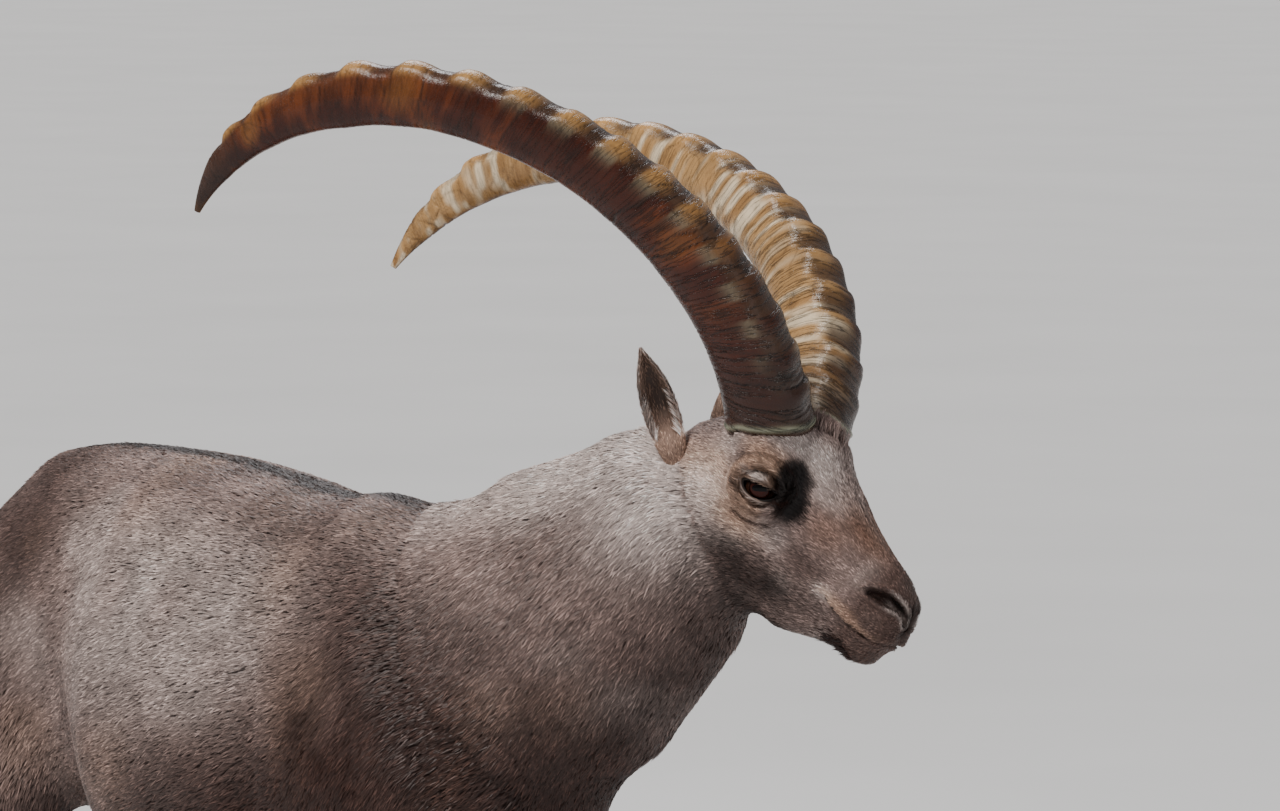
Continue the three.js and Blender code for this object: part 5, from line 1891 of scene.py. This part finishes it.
def bare_places(points):
    """Share of hair at points of the head: none in the nostrils, mouth and eyes or under the lids."""
    skull = mirrored(body_to_skull(points))
    share = smooth(3.0, 5.0, near_path(skull, NOSTRIL)[0]) * smooth(1.2, 2.6, near_path(skull, MOUTH)[0])
    x, y, z = eye_place(skull, 1).T
    covered = (np.hypot(x, y) < 25) & (z < np.sqrt(np.maximum(19.0 ** 2 - x ** 2 - y ** 2, 0)) - 2.0)
    return share * np.where(z > -12, smooth(1.1, 1.3, slit_reach(x, y)), 1) * ~(covered & (z > -30))


# The coat ends at this height over the hooves
HAIR_FOOT = 52
REGIONS = [
    ("coat_trunk_front", lambda p, part, head: (part == TORSO) & (p[:, 0] > -250) & (head < 0.5)),
    ("coat_trunk_middle", lambda p, part, head: (part == TORSO) & (p[:, 0] <= -250) & (p[:, 0] > -510)),
    ("coat_trunk_rear", lambda p, part, head: ((part == TORSO) & (p[:, 0] <= -510)) | (part == TAIL)),
    ("coat_neck", lambda p, part, head: (part == NECK) & (head < 0.5)),
    ("coat_head", lambda p, part, head: head >= 0.5),
    ("coat_forelegs", lambda p, part, head: (part == FORE) & (head < 0.5)),
    ("coat_hindlegs", lambda p, part, head: (part == HIND) & (head < 0.5)),
]


class IBEX_OT_coat(bpy.types.Operator):
    """Makes the coat: short tufts that lie along the skin, in one piece for each region of the body"""

    bl_idname = "ibex.coat"
    bl_label = "Coat"

    def execute(self, context):
        sizes = context.scene.ibex_sizes
        tones = palette()
        ground = coat_ground(hide(sizes.voxel))
        middle = ground.points[ground.triangles].mean(1)
        corner = ground.triangles[:, 0]
        part, head = ground.part[corner], ground.head[corner]
        bare = np.ones(len(middle))
        face = head > 0.5
        bare[face] = bare_places(middle[face])
        bare *= middle[:, 2] > HAIR_FOOT
        for seed, (name, chooser) in enumerate(REGIONS):
            weight = chooser(middle, part, head) * bare
            roots, normals, lie, depth, of_part, on_head, rng = draw(ground, sizes.tufts, weight, seed + 1)
            grow = tuft_sizes(roots, of_part, on_head, sizes)
            length = grow[0] * rng.uniform(0.75, 1.2, len(roots))
            colours = markings(roots, of_part, on_head, tones)
            piece = blades(name, roots, normals, lie, length, grow[1], depth * 0.92, colours,
                           atlas(roots, of_part), rng)
            finish_piece(piece, "coat_finish", "face_coat" if name == "coat_head" else "body_coat")
        return {"FINISHED"}


def tuft_sizes(points, part, head, sizes):
    """Length and width of the tufts at each point, shortest on the muzzle and feet."""
    lengths = np.array([sizes.body_hair, sizes.neck_hair, sizes.face_hair, sizes.body_hair * 1.5,
                        sizes.leg_hair, sizes.leg_hair]) / MM
    length = lengths[part]
    limb = (part == FORE) | (part == HIND)
    high = smooth(380, 600, points[:, 2])
    length = np.where(limb, length * (0.75 + 0.75 * high), length)
    skull = body_to_skull(points)
    muzzle = smooth(60, 150, skull[:, 0])
    face = sizes.face_hair / MM * (1.25 - 0.6 * muzzle)
    share = smooth(0.3, 0.9, head)
    length = length * (1 - share) + face * share
    width = np.clip(length * 0.12, 0.85, sizes.tuft_width / MM)
    return length, width


# Longer hair: name, slot, tufts, lean in the skull frame, length, width, tone, its brightness and seed
LOCKS = [
    ("beard", "face_coat", 2400, (-0.85, 0.0, -0.35), 12, 1.2, "dark", 1, 41),
    ("forelock", "face_coat", 1500, (-0.45, 0.0, 0.85), 13, 1.2, "back", 1, 42),
    ("tail_tuft", "dark_coat", 6000, None, 44, 2.0, "black", 1.4, 43),
]


class IBEX_OT_locks(bpy.types.Operator):
    """Makes the longer hair: beard, forelock, ear hair and the end of the tail"""

    bl_idname = "ibex.locks"
    bl_label = "Locks"

    def execute(self, context):
        tones = palette()
        whole = hide(context.scene.ibex_sizes.voxel)
        body = whole.points[whole.triangles].mean(1)
        middle = body_to_skull(whole.points)[whole.triangles].mean(1)
        weights = {
            "beard": np.exp(-(((middle - (140, 0, -76)) / (20, 15, 9)) ** 2).sum(1)),
            "forelock": np.exp(-(((middle - (-16, 0, 60)) / (15, 9, 12)) ** 2).sum(1)),
            "tail_tuft": smooth(-815, -850, body[:, 0]) * (np.abs(body[:, 1]) < 40),
        }
        for name, slot, count, direction, length, width, tone, dim, seed in LOCKS:
            piece = lock(name, whole, weights[name], count, direction, length, width, tones[tone] * dim, seed)
            finish_piece(piece, "coat_finish", slot)
        for sign, side in SIDES:
            finish_piece(ear_hair(sign, side, tones), "coat_finish", "face_coat")
        return {"FINISHED"}


def lock(name, ground, weight, count, direction, length, width, tone, seed):
    """Longer tufts that lean a fixed way, given in the skull frame, or hang straight down."""
    roots, normals, _, _, part, _, rng = draw(ground, count, weight * (weight > 0.02), seed)
    way = SKULL @ np.array(direction) if direction else np.array([-0.12, 0.0, -1.0])
    heading = unit(way + 0.12 * rng.normal(0, 1, (count, 3)))
    away = unit(np.cross(np.cross(heading, normals), heading))
    grown = length * rng.uniform(0.55, 1.15, count)
    colours = np.broadcast_to(tone, (count, 3)) * rng.uniform(0.8, 1.3, count)[:, None]
    return blades(name, roots, away, heading, grown, np.full(count, width), grown * 0.05, colours,
                  atlas(roots, part), rng)


EAR_TUFTS = 6500


def ear_hair(sign, side, tones):
    """Hair of one ear: short on the back and rim, long and pale across the lower part of the cup."""
    rng = np.random.default_rng(60 + sign)
    grid, t, angle, inside = ear_grid(sign)
    rows, sides = grid.shape[:2]
    along = unit(np.gradient(grid, axis=0))
    around = np.roll(grid, -1, 1) - np.roll(grid, 1, 1)
    out = unit(np.cross(along, around))
    middle = grid.mean(1, keepdims=True)
    back = grid[:, sides // 4] - middle[:, 0]
    out = out * np.sign((out[:, sides // 4] * back).sum(-1))[:, None, None]
    row = rng.integers(2, rows - 2, EAR_TUFTS)
    column = rng.integers(0, sides, EAR_TUFTS)
    hollow = inside[row, column]
    keep = (hollow < 0.25) | (rng.random(EAR_TUFTS) < 0.25)
    row, column, hollow = row[keep], column[keep], hollow[keep]
    roots, normals, way = grid[row, column], out[row, column], along[row, column]
    place = t[row]
    rim = hill(np.abs(np.sin(angle[0, column])), 0, 0.25) * (place > 0.12)
    length = 6.0 + 1.5 * rim
    # Long hair stands across the cup from its front edge
    guard = (rim > 0.3) & (rng.random(len(row)) < 0.75) & (place < 0.55)
    inward = unit(middle[row, 0] - roots)
    way = np.where(guard[:, None], unit(way + inward * 0.6), way)
    length = np.where(guard, 17 * (1 - 0.5 * place), length)
    hair = Layers(tones, "back", row.shape)
    hair.add("ochre", 0.55)
    hair.add("dark", 0.7 * hollow * smooth(0.2, 0.5, place))
    hair.add("pale", np.maximum(rim * 0.9, guard * 0.95), 1.3)
    shelf = 0.24 if sign > 0 else 0
    uv = np.stack([0.76 + 0.2 * column / sides, 0.52 + 0.44 * (row / rows) * 0.5 + shelf], 1)
    return blades("ear_hair_" + side, roots, normals, way, length, np.clip(length * 0.12, 0.8, 1.2),
                  np.full(len(row), 1.4), hair.colours, uv, rng, sink=0.4)


# Stage

CAMERA_AZIMUTH = math.radians(55)
CAMERA_ELEVATION = math.radians(5)
CAMERA_DISTANCE = 7.0
PHOTO_WIDTH, PHOTO_HEIGHT = 1280, 811
METRES_PER_PIXEL = 0.00093
EYE_PIXEL = (796, 494)
FLOOR_REACH = 90.0
FLOOR_LEVEL = -0.0005


def view_axes():
    """Right, up and backward axes of the camera."""
    a, e = CAMERA_AZIMUTH, CAMERA_ELEVATION
    back = np.array([math.sin(a) * math.cos(e), -math.cos(a) * math.cos(e), math.sin(e)])
    right = np.array([math.cos(a), math.sin(a), 0.0])
    return right, np.cross(back, right), back


def photo_camera():
    """Camera that sees the middle of the eye line at its place in the photo's frame."""
    right, up, back = view_axes()
    across = (EYE_PIXEL[0] - PHOTO_WIDTH / 2) * METRES_PER_PIXEL
    down = (EYE_PIXEL[1] - PHOTO_HEIGHT / 2) * METRES_PER_PIXEL
    place = EYE_LINE * MM + ROW_SHIFT + back * CAMERA_DISTANCE - right * across + up * down
    data = bpy.data.cameras.new("photo_camera")
    data.sensor_width = 36
    data.lens = data.sensor_width * CAMERA_DISTANCE / (PHOTO_WIDTH * METRES_PER_PIXEL)
    data.clip_end = 200
    camera = bpy.data.objects.new("photo_camera", data)
    turned = Matrix(np.stack([right, up, back], 1).tolist()).to_4x4()
    camera.matrix_world = Matrix.Translation(place.tolist()) @ turned
    bpy.context.scene.collection.objects.link(camera)
    bpy.context.scene.camera = camera


def light(name, kind, place, facing, power, tint):
    """Lamp at a place that shines along a direction; its data is given back for its size."""
    data = bpy.data.lights.new(name, kind)
    data.energy = power
    data.color = tint
    lamp = bpy.data.objects.new(name, data)
    lamp.location = place
    lamp.rotation_euler = facing.to_track_quat("-Z", "Y").to_euler()
    bpy.context.scene.collection.objects.link(lamp)
    return data


class IBEX_OT_stage(bpy.types.Operator):
    """Makes the pale floor, the studio lights and the camera at the photo's angle"""

    bl_idname = "ibex.stage"
    bl_label = "Stage"

    def execute(self, context):
        photo_camera()
        reach = np.linspace(-FLOOR_REACH, FLOOR_REACH, 3)
        grid = np.stack(np.meshgrid(reach, reach, indexing="ij"), -1)
        points = np.concatenate([grid, np.full(grid.shape[:2] + (1,), FLOOR_LEVEL)], -1).reshape(-1, 3)
        floor = make_mesh("floor", points, [sheet_faces(3, 3)[:, ::-1]], to_row=False)
        shader = Shader("floor_finish", Roughness=0.8)
        tone = shader.between(shader.noise(shader.object_place(), 1.3, 3), 0.3, 0.7, 0.7, 0.74)
        combine = shader.add("ShaderNodeCombineColor")
        for channel in ("Red", "Green", "Blue"):
            shader.link(tone, combine.inputs[channel])
        shader.feed(combine.outputs["Color"], "Base Color")
        floor.data.materials.append(shader.material)
        right, up, back = view_axes()
        centre = EYE_LINE * MM + ROW_SHIFT

        def place(r, u, b):
            return tuple(centre + right * r + up * u + back * b)

        sun = Vector(tuple(-(right * -0.5 + up * 1.0 + back * 0.62)))
        light("key", "SUN", (0, 0, 0), sun, 3.3, (1.0, 0.965, 0.93)).angle = math.radians(16)
        aim = Vector(centre - right * 0.3)
        fill, rim = Vector(place(3.4, 1.2, 3.2)), Vector(place(-0.4, 3.0, -2.6))
        light("fill", "AREA", fill, aim - fill, 20, (0.93, 0.95, 1.0)).size = 3.0
        light("rim", "AREA", rim, aim - rim, 60, (0.96, 0.97, 1.0)).size = 1.4
        world = bpy.data.worlds.new("studio")
        world.use_nodes = True
        backdrop = world.node_tree.nodes["Background"].inputs
        backdrop["Color"].default_value = (0.8, 0.82, 0.86, 1)
        backdrop["Strength"].default_value = 0.34
        context.scene.world = world
        return {"FINISHED"}


class IBEX_PT_panel(bpy.types.Panel):
    """Lists the pieces and their settings in the sidebar"""

    bl_idname = "IBEX_PT_panel"
    bl_label = "Alpine ibex"
    bl_space_type = "VIEW_3D"
    bl_region_type = "UI"
    bl_category = "Ibex"

    def draw(self, context):
        for settings in (context.scene.ibex_sizes, context.scene.ibex_colours):
            box = self.layout.box()
            for name in settings.bl_rna.properties.keys():
                if name not in ("rna_type", "name"):
                    box.prop(settings, name)
        for operator in PIECES:
            self.layout.operator(operator.bl_idname)


PIECES = (IBEX_OT_stage, IBEX_OT_skin, IBEX_OT_eyes, IBEX_OT_ears, IBEX_OT_horns, IBEX_OT_hooves,
          IBEX_OT_coat, IBEX_OT_locks)
CLASSES = (IbexSizes, IbexColours) + PIECES + (IBEX_PT_panel,)


def register():
    for each in CLASSES:
        bpy.utils.register_class(each)
    bpy.types.Scene.ibex_sizes = PointerProperty(type=IbexSizes)
    bpy.types.Scene.ibex_colours = PointerProperty(type=IbexColours)


def unregister():
    del bpy.types.Scene.ibex_sizes
    del bpy.types.Scene.ibex_colours
    for each in reversed(CLASSES):
        bpy.utils.unregister_class(each)


def main():
    register()
    bpy.ops.ibex.stage()
    bpy.ops.ibex.skin()
    bpy.ops.ibex.eyes()
    bpy.ops.ibex.ears()
    bpy.ops.ibex.horns()
    bpy.ops.ibex.hooves()
    bpy.ops.ibex.coat()
    bpy.ops.ibex.locks()


if __name__ == "__main__":
    main()
